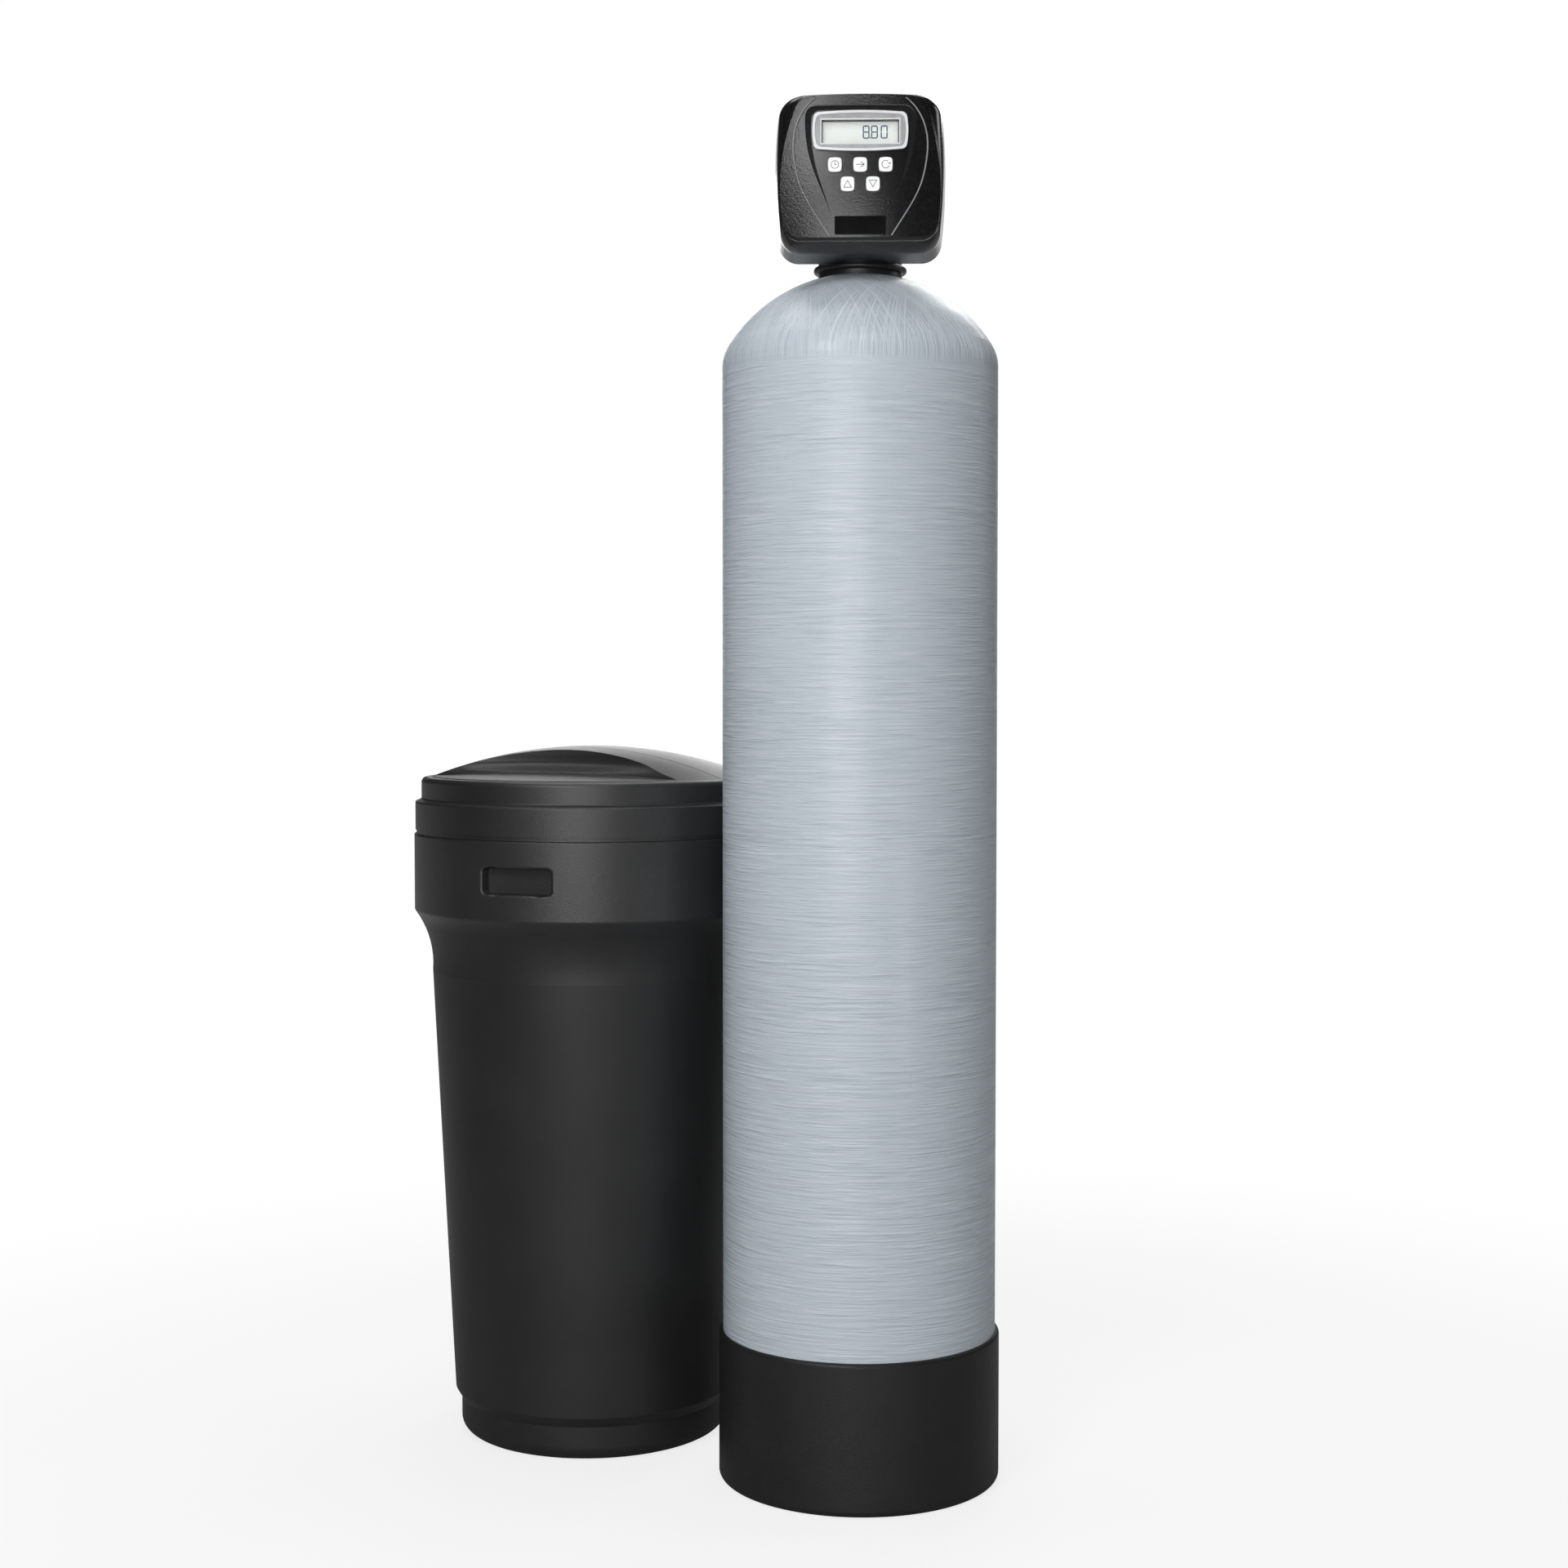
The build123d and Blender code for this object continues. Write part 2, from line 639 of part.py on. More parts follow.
def gravel_bed():
    """The quartz layer that covers the lower strainer."""
    return bed(0.0, GRAVEL_TOP)


def resin_bed():
    """The softening resin above the gravel."""
    return bed(GRAVEL_TOP + SEAT_GAP, RESIN_TOP)


# Valve body and its ports
def valve_body():
    """The moulded body: neck thread, flange, main cylinder, water ports and side bosses."""
    neck_low = NECK_TOP - NECK_DEPTH
    neck = turned(outline(
        [(0, neck_low), (NECK_THREAD_R, neck_low), (NECK_THREAD_R, FLANGE_LOW),
         (FLANGE_FOOT_R, FLANGE_LOW), (FLANGE_FOOT_R, FLANGE_LOW + FLANGE_LIFT),
         (FLANGE_R, FLANGE_LOW + FLANGE_LIFT), (FLANGE_R, FLANGE_TOP), (COLLAR_R, FLANGE_TOP),
         (COLLAR_R, FLANGE_TOP + COLLAR_HEIGHT),
         (BODY_R, VALVE_Z - BODY_R / 2), (0, VALVE_Z - BODY_R / 2)],
        [0, 0, 0, 0, 0, FLANGE_EDGE_R, FLANGE_EDGE_R, 0, FLANGE_EDGE_R, 0, 0],
    ))
    length = BODY_BACK - BODY_FRONT
    barrel_part = backward(0, BODY_FRONT, VALVE_Z) * rod(BODY_R, length)
    barrel_part = fillet(barrel_part.edges().sort_by(Axis.Y)[-1], FLANGE_EDGE_R)
    flange = backward(0, BODY_FRONT, VALVE_Z) * rod(FRONT_FLANGE_R, FRONT_FLANGE)
    body = neck + barrel_part + flange
    for side in (1, -1):
        body += backward(side * PORT_SPREAD, PORT_START, PORT_Z) * rod(PORT_R, PORT_END - PORT_START)
        bead_y = BODY_BACK + PORT_BEAD
        body += backward(side * PORT_SPREAD, bead_y, PORT_Z) * rod(PORT_BEAD_R, PORT_BEAD)
        body += sideways(0, SIDE_BOSS_Y, BOSS_Z, side) * rod(SIDE_BOSS_R, SIDE_BOSS_REACH)
    body += Pos(0, INJECTOR_BOSS_Y, VALVE_Z) * rod(INJECTOR_BOSS_R, INJECTOR_BOSS_TOP)
    body += Pos(-PORT_SPREAD, METER_PLUG_Y, PORT_Z) * rod(METER_CAP_R, PORT_R + METER_BOSS_RISE)
    return body - valve_waterways()


def valve_waterways():
    """Every passage that is cut into the valve body."""
    bore_length = BODY_BACK - BODY_FRONT - BODY_END_WALL + OVERRUN
    ways = backward(0, BODY_FRONT - OVERRUN, VALVE_Z) * rod(BODY_BORE_R, bore_length)
    neck_low = NECK_TOP - NECK_DEPTH
    annulus_height = VALVE_Z - BODY_BORE_R / 2 - neck_low
    sleeve = RISER_R + SLEEVE_WALL
    ways += Pos(0, 0, neck_low - OVERRUN) * tube(ANNULUS_R, sleeve, annulus_height - BODY_R / 2 + OVERRUN)
    port = rod(ANNULUS_PORT_R, VALVE_Z - PISTON_R - FLANGE_TOP)
    port = Pos((ANNULUS_R + sleeve) / 2, 0, FLANGE_TOP) * port
    for hole in ring_of(port, ANNULUS_PORTS):
        ways += hole
    ways += Pos(0, 0, neck_low - OVERRUN) * rod(RISER_R + RUNNING_GAP, annulus_height + OVERRUN)
    ways += Pos(0, 0, neck_low - OVERRUN) * rod(ANNULUS_R, sleeve_low() - neck_low + OVERRUN)
    for side in (1, -1):
        ways += backward(side * PORT_SPREAD, PORT_START + BODY_END_WALL, PORT_Z) * rod(
            PORT_BORE_R, PORT_END - PORT_START)
        ways += sideways(side * PISTON_R, SIDE_BOSS_Y, BOSS_Z, side) * rod(SIDE_BORE_R, SIDE_BOSS_REACH)
    ways += Pos(0, INJECTOR_BOSS_Y, VALVE_Z + PISTON_R) * rod(INJECTOR_BORE_R, INJECTOR_BOSS_TOP)
    ways += Pos(-PORT_SPREAD, METER_PLUG_Y, PORT_Z) * rod(METER_PLUG_R, PORT_R + METER_BOSS_RISE + OVERRUN)
    ways += Pos(0, 0, O_RING_R + NECK_TOP) * Torus(neck_seal_r(), O_RING_R + SEAT_GAP / 2)
    ways += Pos(0, 0, riser_seal_z()) * Torus(riser_seal_r(), O_RING_R + SEAT_GAP / 2)
    for place in plate_screw_places():
        hole = Pos(*place) * rod(SCREW_SHANK_R + RUNNING_GAP, FRONT_FLANGE)
        ways += front(BODY_FRONT + FRONT_FLANGE) * hole
    return ways


def sleeve_low():
    """The height at which the sleeve round the riser's top starts."""
    return FLANGE_LOW - COLLAR_HEIGHT


def neck_seal_r():
    """The radius of the neck seal's own circle, half way across the neck ring."""
    return (NECK_RING_R + NECK_BORE_R) / 2


def riser_seal_r():
    """The radius of the riser seal's own circle."""
    return RISER_R + O_RING_R + RUNNING_GAP


def riser_seal_z():
    """The height of the riser seal, in the middle of the sleeve's hold on the riser."""
    return (sleeve_low() + RISER_TOP) / 2


def neck_o_ring():
    """The seal between the vessel's neck and the valve's flange."""
    return Pos(0, 0, NECK_TOP + O_RING_R) * Torus(neck_seal_r(), O_RING_R)


def riser_o_ring():
    """The seal round the riser's top."""
    return Pos(0, 0, riser_seal_z()) * Torus(riser_seal_r(), O_RING_R)


def port_fitting(side):
    """A straight connector for the house pipe, held against a port by its nut."""
    start = PORT_END + SEAT_GAP
    flange = rod(PORT_BEAD_R, FITTING_FLANGE)
    neck = rod(PORT_R - SEAT_GAP, FITTING_LENGTH - FITTING_TAIL)
    tail = rod(FITTING_TAIL_R, FITTING_LENGTH)
    bore = Pos(0, 0, -OVERRUN) * rod(PORT_BORE_R, FITTING_LENGTH + 2 * OVERRUN)
    return backward(side * PORT_SPREAD, start, PORT_Z) * (flange + neck + tail - bore)


def port_nuts():
    """The two ribbed union nuts on the water ports."""
    nuts = []
    start = PORT_END + FITTING_FLANGE + 2 * SEAT_GAP + BODY_END_WALL / 2 - NUT_LENGTH
    wide = NUT_LENGTH - BODY_END_WALL / 2
    for side in (1, -1):
        body = tube(NUT_R, PORT_R + SEAT_GAP, NUT_LENGTH)
        for rib in ring_of(Pos(NUT_R, 0, 0) * rod(NUT_RIB_R, NUT_LENGTH), NUT_RIBS):
            body += rib
        pocket = NUT_LENGTH - BODY_END_WALL / 2 - PORT_BEAD - OVERRUN
        body -= Pos(0, 0, pocket) * rod(PORT_BEAD_R + SEAT_GAP, wide - pocket)
        nuts.append(backward(side * PORT_SPREAD, start, PORT_Z) * body)
    return nuts


def side_elbow(side):
    """An elbow that plugs into a side boss and turns to the back."""
    start = SIDE_BOSS_REACH + SEAT_GAP
    plug_r = SIDE_BORE_R - RUNNING_GAP
    plug_start = start - SIDE_BOSS_R
    plug = sideways(side * plug_start, SIDE_BOSS_Y, BOSS_Z, side) * rod(plug_r, SIDE_BOSS_R + ELBOW_R / 2)
    stub = sideways(side * start, SIDE_BOSS_Y, BOSS_Z, side) * rod(ELBOW_R, ELBOW_REACH)
    corner = Pos(side * (start + ELBOW_REACH), SIDE_BOSS_Y, BOSS_Z) * Sphere(ELBOW_R)
    return plug + stub + corner


def drain_elbow():
    """The drain outlet, with a barb for a hose."""
    start_x = SIDE_BOSS_REACH + SEAT_GAP + ELBOW_REACH
    turn = backward(start_x, SIDE_BOSS_Y, BOSS_Z)
    body = side_elbow(1) + turn * rod(ELBOW_R, ELBOW_TURN_LENGTH / 2)
    body += turn * rod(BARB_STEM_R, ELBOW_TURN_LENGTH / 2 + BARB_LENGTH)
    pitch = BARB_LENGTH / BARBS
    for index in range(BARBS):
        barb = Cone(BARB_R, BARB_STEM_R, pitch, align=(Align.CENTER, Align.CENTER, Align.MIN))
        body += turn * (Pos(0, 0, ELBOW_TURN_LENGTH / 2 + index * pitch) * barb)
    bore = LINE_R
    body -= turn * rod(bore, ELBOW_TURN_LENGTH + BARB_LENGTH)
    body -= sideways(0, SIDE_BOSS_Y, BOSS_Z, 1) * rod(bore, start_x)
    return body


def brine_elbow():
    """The brine connection, with a stub for the line from the brine tank."""
    start_x = SIDE_BOSS_REACH + SEAT_GAP + ELBOW_REACH
    turn = backward(-start_x, SIDE_BOSS_Y, BOSS_Z)
    stub_r = CAP_NUT_R - WELL_WALL
    body = side_elbow(-1) + turn * rod(stub_r, ELBOW_TURN_LENGTH)
    body -= turn * rod(LINE_R - SEAT_GAP, ELBOW_TURN_LENGTH + OVERRUN)
    body -= Pos(-start_x, SIDE_BOSS_Y + ELBOW_TURN_LENGTH - CAP_NUT_LENGTH, BOSS_Z) * (
        backward(0, 0, 0) * rod(LINE_R + RUNNING_GAP, CAP_NUT_LENGTH + OVERRUN))
    body -= sideways(0, SIDE_BOSS_Y, BOSS_Z, -1) * rod(LINE_R - SEAT_GAP, start_x)
    return body


def brine_elbow_nut():
    """The hexagon nut that grips the brine line."""
    start_x = SIDE_BOSS_REACH + SEAT_GAP + ELBOW_REACH
    stub_r = CAP_NUT_R - WELL_WALL
    nut = extrude(RegularPolygon(CAP_NUT_R + WELL_WALL, 6), CAP_NUT_LENGTH + OVERRUN)
    nut -= Pos(0, 0, -OVERRUN) * rod(stub_r + SEAT_GAP, CAP_NUT_LENGTH + OVERRUN + SEAT_GAP)
    nut -= rod(LINE_R + RUNNING_GAP, CAP_NUT_LENGTH + 2 * OVERRUN)
    return backward(-start_x, SIDE_BOSS_Y + ELBOW_TURN_LENGTH - CAP_NUT_LENGTH, BOSS_Z) * nut


def drain_clip():
    """The spring clip that locks the drain elbow into its boss."""
    gap = SIDE_BOSS_R + SEAT_GAP
    clip = tube(gap + RUNNING_GAP + MOTOR_SHAFT_R, gap, OVERRUN)
    clip -= Pos(0, gap, -OVERRUN) * block(gap * 2, gap, 3 * OVERRUN)
    return sideways(SIDE_BOSS_REACH - 2 * OVERRUN, SIDE_BOSS_Y, BOSS_Z, 1) * clip


def injector_cap():
    """The cap over the injector, with ribs for the fingers."""
    low = VALVE_Z + INJECTOR_BOSS_TOP + SEAT_GAP
    cap = rod(INJECTOR_CAP_R, INJECTOR_CAP_HEIGHT)
    cap = fillet(cap.edges().sort_by(Axis.Z)[-1], FLANGE_EDGE_R / 2)
    for rib in ring_of(Pos(INJECTOR_CAP_R, 0, 0) * rod(NUT_RIB_R / 2, INJECTOR_CAP_HEIGHT / 2), NUT_RIBS):
        cap += rib
    plug_depth = INJECTOR_CAP_HEIGHT / 2
    plug = Pos(0, 0, -plug_depth) * rod(INJECTOR_BORE_R - RUNNING_GAP, plug_depth)
    return Pos(0, INJECTOR_BOSS_Y, low) * (cap + plug)


def injector_nozzle():
    """The injector's throat, in the boss under its cap."""
    low = VALVE_Z + BODY_BORE_R + SEAT_GAP
    length = VALVE_Z + INJECTOR_BOSS_TOP - INJECTOR_CAP_HEIGHT / 2 - low
    body = turned(outline(
        [(THROAT_R, 0), (INJECTOR_BORE_R - OVERRUN, 0), (INJECTOR_BORE_R - OVERRUN, length / 2),
         (INJECTOR_BORE_R - RUNNING_GAP, length / 2), (INJECTOR_BORE_R - RUNNING_GAP, length),
         (THROAT_R * 2, length), (THROAT_R, length / 2)],
        [0, 0, 0, 0, 0, 0, 0],
    ))
    return Pos(0, INJECTOR_BOSS_Y, low) * body


# Water meter
def meter_plug():
    """The meter's sensor plug, which carries the turbine's pin in the outlet."""
    z_boss = PORT_R + METER_BOSS_RISE
    plug = Pos(0, 0, PORT_BORE_R) * rod(METER_PLUG_R - RUNNING_GAP, z_boss - PORT_BORE_R)
    cap = Pos(0, 0, z_boss + SEAT_GAP) * rod(METER_CAP_R, METER_CAP)
    neck = Pos(0, 0, z_boss) * rod(METER_PLUG_R - RUNNING_GAP, SEAT_GAP)
    cap = fillet(cap.edges().sort_by(Axis.Z)[-1], FLANGE_EDGE_R / 2)
    arm_y = -TURBINE_LENGTH / 2 + PIN_R
    arm = Pos(0, arm_y - PIN_R, 0) * rod(PIN_R, PORT_BORE_R + PIN_R)
    hub = backward(0, arm_y - 2 * PIN_R, 0) * rod(PIN_R, 2 * PIN_R)
    pin = backward(0, arm_y - PIN_R, 0) * rod(TURBINE_PIN_R, TURBINE_LENGTH + 2 * PIN_R)
    return Pos(-PORT_SPREAD, METER_PLUG_Y, PORT_Z) * (plug + neck + cap + arm + hub + pin)


def meter_turbine():
    """The vaned rotor that the outgoing water turns."""
    start = METER_PLUG_Y - TURBINE_LENGTH / 2 + PIN_R + SEAT_GAP
    hub = tube(TURBINE_HUB_R, TURBINE_PIN_R + RUNNING_GAP, TURBINE_LENGTH)
    reach = TURBINE_R - TURBINE_HUB_R / 2
    blade = Pos(TURBINE_HUB_R / 2 + reach / 2, 0, 0) * block(reach, TURBINE_BLADE, TURBINE_LENGTH)
    blade -= rod(TURBINE_PIN_R + TURBINE_BLADE / 2, TURBINE_LENGTH)
    rotor = hub
    for vane in ring_of(blade, TURBINE_BLADES):
        rotor += vane
    return backward(-PORT_SPREAD, start, PORT_Z) * rotor


# Seals, spacers and piston
def stack_start():
    """The depth at which the seals and spacers start, behind the drive cap."""
    return BODY_FRONT + CAP_LENGTH + SEAT_GAP


def spacer_stack():
    """The windowed spacer rings that hold the piston seals apart."""
    outer = BODY_BORE_R - SEAT_GAP
    spacers = []
    for index in range(SPACERS):
        ring = tube(outer, SPACER_BORE_R, SPACER_LENGTH - SEAT_GAP)
        window = Pos(SPACER_BORE_R, 0, SEAL_WIDTH) * block(
            2 * (outer - SPACER_BORE_R) + 2 * OVERRUN, SPACER_WINDOW, SPACER_LENGTH - 2 * SEAL_WIDTH)
        for cut in ring_of(window, SPACER_WINDOWS):
            ring -= cut
        start = stack_start() + SEAL_WIDTH + index * (SPACER_LENGTH + SEAL_WIDTH)
        spacers.append(backward(0, start, VALVE_Z) * ring)
    return spacers


def stack_seals():
    """The lip seals on both sides of every spacer."""
    seals = []
    inner = PISTON_R + RUNNING_GAP
    outer = BODY_BORE_R - SEAT_GAP
    width = SEAL_WIDTH - SEAT_GAP
    waist = (outer + inner) / 2
    for index in range(SPACERS + 1):
        face = outline(
            [(inner, 0), (outer, 0), (outer, width), (inner, width), (waist, width / 2)],
            [0, 0, 0, 0, 0],
        )
        start = stack_start() + index * (SPACER_LENGTH + SEAL_WIDTH)
        seals.append(backward(0, start, VALVE_Z) * turned(face))
    return seals


def piston_back():
    """The depth of the piston's rear end at rest, in the service position."""
    return stack_start() + SPACERS * (SPACER_LENGTH + SEAL_WIDTH)


def piston():
    """The hollow piston that opens and closes the windows."""
    length = PISTON_LENGTH
    land = PISTON_LAND
    body = turned(outline(
        [(ROD_R + RUNNING_GAP, 0), (PISTON_R, 0), (PISTON_R, land), (PISTON_WAIST_R, land + WELL_WALL),
         (PISTON_WAIST_R, length - land - WELL_WALL), (PISTON_R, length - land), (PISTON_R, length),
         (PISTON_BORE_R, length), (PISTON_BORE_R, PISTON_WEB), (ROD_R + RUNNING_GAP, PISTON_WEB)],
        [0, 0, 0, 0, 0, 0, 0, 0, 0, 0],
    ))
    return backward(0, piston_back() - length, VALVE_Z) * body


def rod_front():
    """The depth of the drive screw's front end at rest."""
    return MAIN_BACK_Y - GEAR_WIDTH - GEAR_SPACE - MOTOR_FLANGE


def piston_rod():
    """The rod and drive screw that draw the piston to and fro."""
    piston_start = piston_back() - PISTON_LENGTH
    back = piston_start + PISTON_WEB + SEAT_GAP
    shaft = backward(0, rod_front(), VALVE_Z) * rod(ROD_R, back - rod_front())
    screw = backward(0, rod_front(), VALVE_Z) * rod(SCREW_R, SCREW_LENGTH)
    collar = backward(0, back, VALVE_Z) * rod(ROD_R + OVERRUN, OVERRUN)
    front_collar_y = piston_start - SEAT_GAP - OVERRUN
    front_collar = backward(0, front_collar_y, VALVE_Z) * rod(ROD_R + OVERRUN, OVERRUN)
    return shaft + screw + collar + front_collar


def drive_cap():
    """The cap that closes the valve's cylinder, with the sleeve that the main gear turns on."""
    plug = backward(0, BODY_FRONT, VALVE_Z) * rod(BODY_BORE_R - RUNNING_GAP, CAP_LENGTH)
    sleeve_y = MAIN_BACK_Y - GEAR_WIDTH + MAIN_WEB + SEAT_GAP
    sleeve = backward(0, sleeve_y, VALVE_Z) * rod(CAP_SLEEVE_R, BODY_FRONT - sleeve_y)
    bore = backward(0, sleeve_y - OVERRUN, VALVE_Z) * rod(
        SCREW_R + SEAT_GAP, BODY_FRONT + CAP_LENGTH - sleeve_y + 2 * OVERRUN)
    return plug + sleeve - bore


# Gear train
def gear_face(teeth, phase):
    """A toothed face: four points a tooth, from the module and the tooth shares."""
    pitch_r = TOOTH_MODULE * teeth / 2
    tip = pitch_r + TOOTH_MODULE * TIP_SHARE
    root = pitch_r - TOOTH_MODULE * ROOT_SHARE
    step = 360 / teeth
    points = []
    for index in range(teeth):
        middle = phase + index * step
        for side, radius, share in ((-1, root, TOOTH_ROOT_SHARE), (-1, tip, TOOTH_TIP_SHARE),
                                    (1, tip, TOOTH_TIP_SHARE), (1, root, TOOTH_ROOT_SHARE)):
            points.append(away((0.0, 0.0), middle + side * step * share / 2, radius))
    return make_face(Polyline(*points, close=True))


def meshed_phase(phase, teeth, other_teeth, direction):
    """The turn that puts another gear's teeth into this gear's gaps, for a line of centres."""
    offset = (phase - direction) * teeth / 360 + 0.5
    return direction + 180 - 360 / other_teeth * offset


MAIN_PHASE = 0.0
SECOND_PINION_PHASE = meshed_phase(MAIN_PHASE, MAIN_TEETH, PINION_TEETH, MAIN_TO_SECOND)
FIRST_PINION_PHASE = meshed_phase(0.0, WHEEL_TEETH, PINION_TEETH, SECOND_TO_FIRST)
MOTOR_PINION_PHASE = meshed_phase(0.0, WHEEL_TEETH, PINION_TEETH, FIRST_TO_MOTOR)


def main_gear():
    """The large gear that turns on the drive cap and moves the drive screw."""
    rim = extrude(gear_face(MAIN_TEETH, MAIN_PHASE), GEAR_WIDTH)
    inner = MAIN_PITCH_R - MAIN_RIM - TOOTH_MODULE
    hub = CAP_SLEEVE_R + MAIN_RIM
    dish = Pos(0, 0, -OVERRUN) * tube(inner, hub, GEAR_WIDTH - MAIN_WEB + OVERRUN)
    gear = rim - dish
    hole = Pos((inner + hub) / 2, 0, 0) * rod(SPOKE_HOLE_R, GEAR_WIDTH + OVERRUN)
    for cut in ring_of(hole, MAIN_SPOKE_HOLES):
        gear -= cut
    gear -= Pos(0, 0, -OVERRUN) * rod(CAP_SLEEVE_R + RUNNING_GAP, GEAR_WIDTH - MAIN_WEB + OVERRUN)
    gear -= rod(SCREW_R + RUNNING_GAP, GEAR_WIDTH + OVERRUN)
    return front(MAIN_BACK_Y) * (Pos(*MAIN_AT) * gear)


def reduction_gear(at, wheel_back, pinion_back, pinion_width, pinion_phase):
    """A wheel and a pinion in one piece, running on a pin."""
    low = pinion_back
    wheel = Pos(0, 0, low - wheel_back) * extrude(gear_face(WHEEL_TEETH, 0.0), WHEEL_WIDTH)
    pinion = extrude(gear_face(PINION_TEETH, pinion_phase), pinion_width)
    neck = rod(PINION_PITCH_R - TOOTH_MODULE * ROOT_SHARE, low - wheel_back + OVERRUN / 2)
    gear = wheel + pinion + neck
    gear -= Pos(0, 0, -OVERRUN) * rod(PIN_R + RUNNING_GAP, low - wheel_back + WHEEL_WIDTH + 2 * OVERRUN)
    return front(low) * (Pos(*at) * gear)


def reduction_gear_two():
    """The reduction gear whose pinion drives the main gear."""
    return reduction_gear(SECOND_AT, SECOND_BACK_Y, MAIN_BACK_Y, GEAR_WIDTH, SECOND_PINION_PHASE)


def reduction_gear_one():
    """The reduction gear between the motor's pinion and the second reduction gear."""
    return reduction_gear(FIRST_AT, FIRST_BACK_Y, SECOND_BACK_Y, WHEEL_WIDTH, FIRST_PINION_PHASE)


def motor_pinion():
    """The small gear on the motor's shaft."""
    pinion = extrude(gear_face(PINION_TEETH, MOTOR_PINION_PHASE), WHEEL_WIDTH)
    pinion -= Pos(0, 0, -OVERRUN) * rod(MOTOR_SHAFT_R + RUNNING_GAP, WHEEL_WIDTH + 2 * OVERRUN)
    return front(FIRST_BACK_Y) * (Pos(*MOTOR_AT) * pinion)


def motor():
    """The gear motor, through the drive plate, with a flange in front of it."""
    can_front = FIRST_BACK_Y + GEAR_SPACE
    can = front(can_front + MOTOR_LENGTH) * (Pos(*MOTOR_AT) * rod(MOTOR_R, MOTOR_LENGTH))
    can = fillet(can.edges().filter_by(GeomType.CIRCLE), MOTOR_SHAFT_R)
    flange = front(PLATE_FRONT_Y - SEAT_GAP) * (Pos(*MOTOR_AT) * rod(MOTOR_FLANGE_R, MOTOR_FLANGE))
    shaft = front(can_front) * (Pos(*MOTOR_AT) * rod(MOTOR_SHAFT_R, can_front - GEAR_COVER_BACK_Y))
    return can + flange + shaft


def drive_gear_cover():
    """The plate in front of the reduction gears, which holds the ends of their pins."""
    margin = GEAR_COVER_MARGIN
    places = [SECOND_AT, FIRST_AT]
    discs = [Pos(*at) * Circle(PIN_R + margin) for at in places + [gear_cover_post()]]
    face = make_hull(Sketch(children=discs).edges())
    plate = extrude(face, GEAR_COVER)
    through = GEAR_COVER + 2 * OVERRUN
    for at in places:
        plate -= Pos(*at) * Pos(0, 0, -OVERRUN) * rod(PIN_R + RUNNING_GAP, through)
    plate -= Pos(*gear_cover_post()) * Pos(0, 0, -OVERRUN) * rod(SCREW_SHANK_R + RUNNING_GAP, through)
    return front(GEAR_COVER_BACK_Y) * plate


def gear_cover_post():
    """The place of the post that carries the gear cover's free corner."""
    return away(SECOND_AT, 180 - MAIN_TO_SECOND, WHEEL_PITCH_R + 2 * POST_R)


def plate_outline(inset):
    """The outline of the drive plate, drawn in from the cover's rim."""
    low = cover_low() + inset
    top = cover_top() - inset
    return barrel_outline(RIM_HALF - inset, RIM_TOP_HALF - inset, RIM_LOW_HALF - inset, low, top,
                          COVER_CROWN, COVER_CORNER_R - inset / 2)


def plate_screw_places():
    """The places of the screws that hold the drive plate on the valve body."""
    angles = [PLATE_SCREW_ANGLE + 360 / PLATE_SCREWS * index for index in range(PLATE_SCREWS)]
    return [away(MAIN_AT, angle, PLATE_SCREW_CIRCLE_R) for angle in angles]


def board_posts():
    """The places of the posts that carry the circuit board."""
    left = -BOARD_HALF + BOARD_MARGIN
    low = NECK_TOP + BOARD_LOW_RISE + BOARD_MARGIN
    top = NECK_TOP + BOARD_LOW_RISE + BOARD_HEIGHT - BOARD_MARGIN
    beside_motor = MOTOR_AT[0] - MOTOR_FLANGE_R - POST_R - BOARD_MARGIN / 2
    return [(left, low), (-left, low), (left, top), (beside_motor, top)]


def drive_plate():
    """The moulded plate behind the cover: it carries the motor, the gear pins and the board's posts."""
    plate = extrude(plate_outline(PLATE_INSET), PLATE)
    plate -= Pos(*MAIN_AT) * Pos(0, 0, -OVERRUN) * rod(CAP_HOLE_R, PLATE + 2 * OVERRUN)
    plate -= Pos(*MOTOR_AT) * Pos(0, 0, -OVERRUN) * rod(MOTOR_R + SEAT_GAP, PLATE + 2 * OVERRUN)
    for place in plate_screw_places():
        plate -= Pos(*place) * Pos(0, 0, -OVERRUN) * rod(SCREW_SHANK_R + RUNNING_GAP, PLATE + 2 * OVERRUN)
    pin_length = PLATE_FRONT_Y - GEAR_COVER_BACK_Y + GEAR_COVER / 2
    for at in (SECOND_AT, FIRST_AT):
        plate += Pos(*at) * Pos(0, 0, PLATE) * rod(PIN_R, pin_length)
    step = PLATE_FRONT_Y - SECOND_BACK_Y - SEAT_GAP
    plate += Pos(*FIRST_AT) * Pos(0, 0, PLATE) * rod(PIN_R + MOTOR_SHAFT_R, step)
    second_step = PLATE_FRONT_Y - MAIN_BACK_Y - SEAT_GAP
    plate += Pos(*SECOND_AT) * Pos(0, 0, PLATE) * rod(PIN_R + MOTOR_SHAFT_R, second_step)
    cover_post = PLATE_FRONT_Y - GEAR_COVER_BACK_Y
    plate += Pos(*gear_cover_post()) * Pos(0, 0, PLATE) * rod(POST_R, cover_post)
    screw_hole = Pos(0, 0, PLATE + cover_post - SCREW_SHANK) * rod(SCREW_SHANK_R + RUNNING_GAP, SCREW_SHANK)
    plate -= Pos(*gear_cover_post()) * screw_hole
    board_reach = PLATE_FRONT_Y - BOARD_BACK_Y
    for place in board_posts():
        plate += Pos(*place) * Pos(0, 0, PLATE) * rod(POST_R, board_reach)
        plate += Pos(*place) * Pos(0, 0, PLATE) * rod(BOARD_PIN_R, board_reach + BOARD + OVERRUN / 2)
    return front(PLATE_BACK_Y) * plate


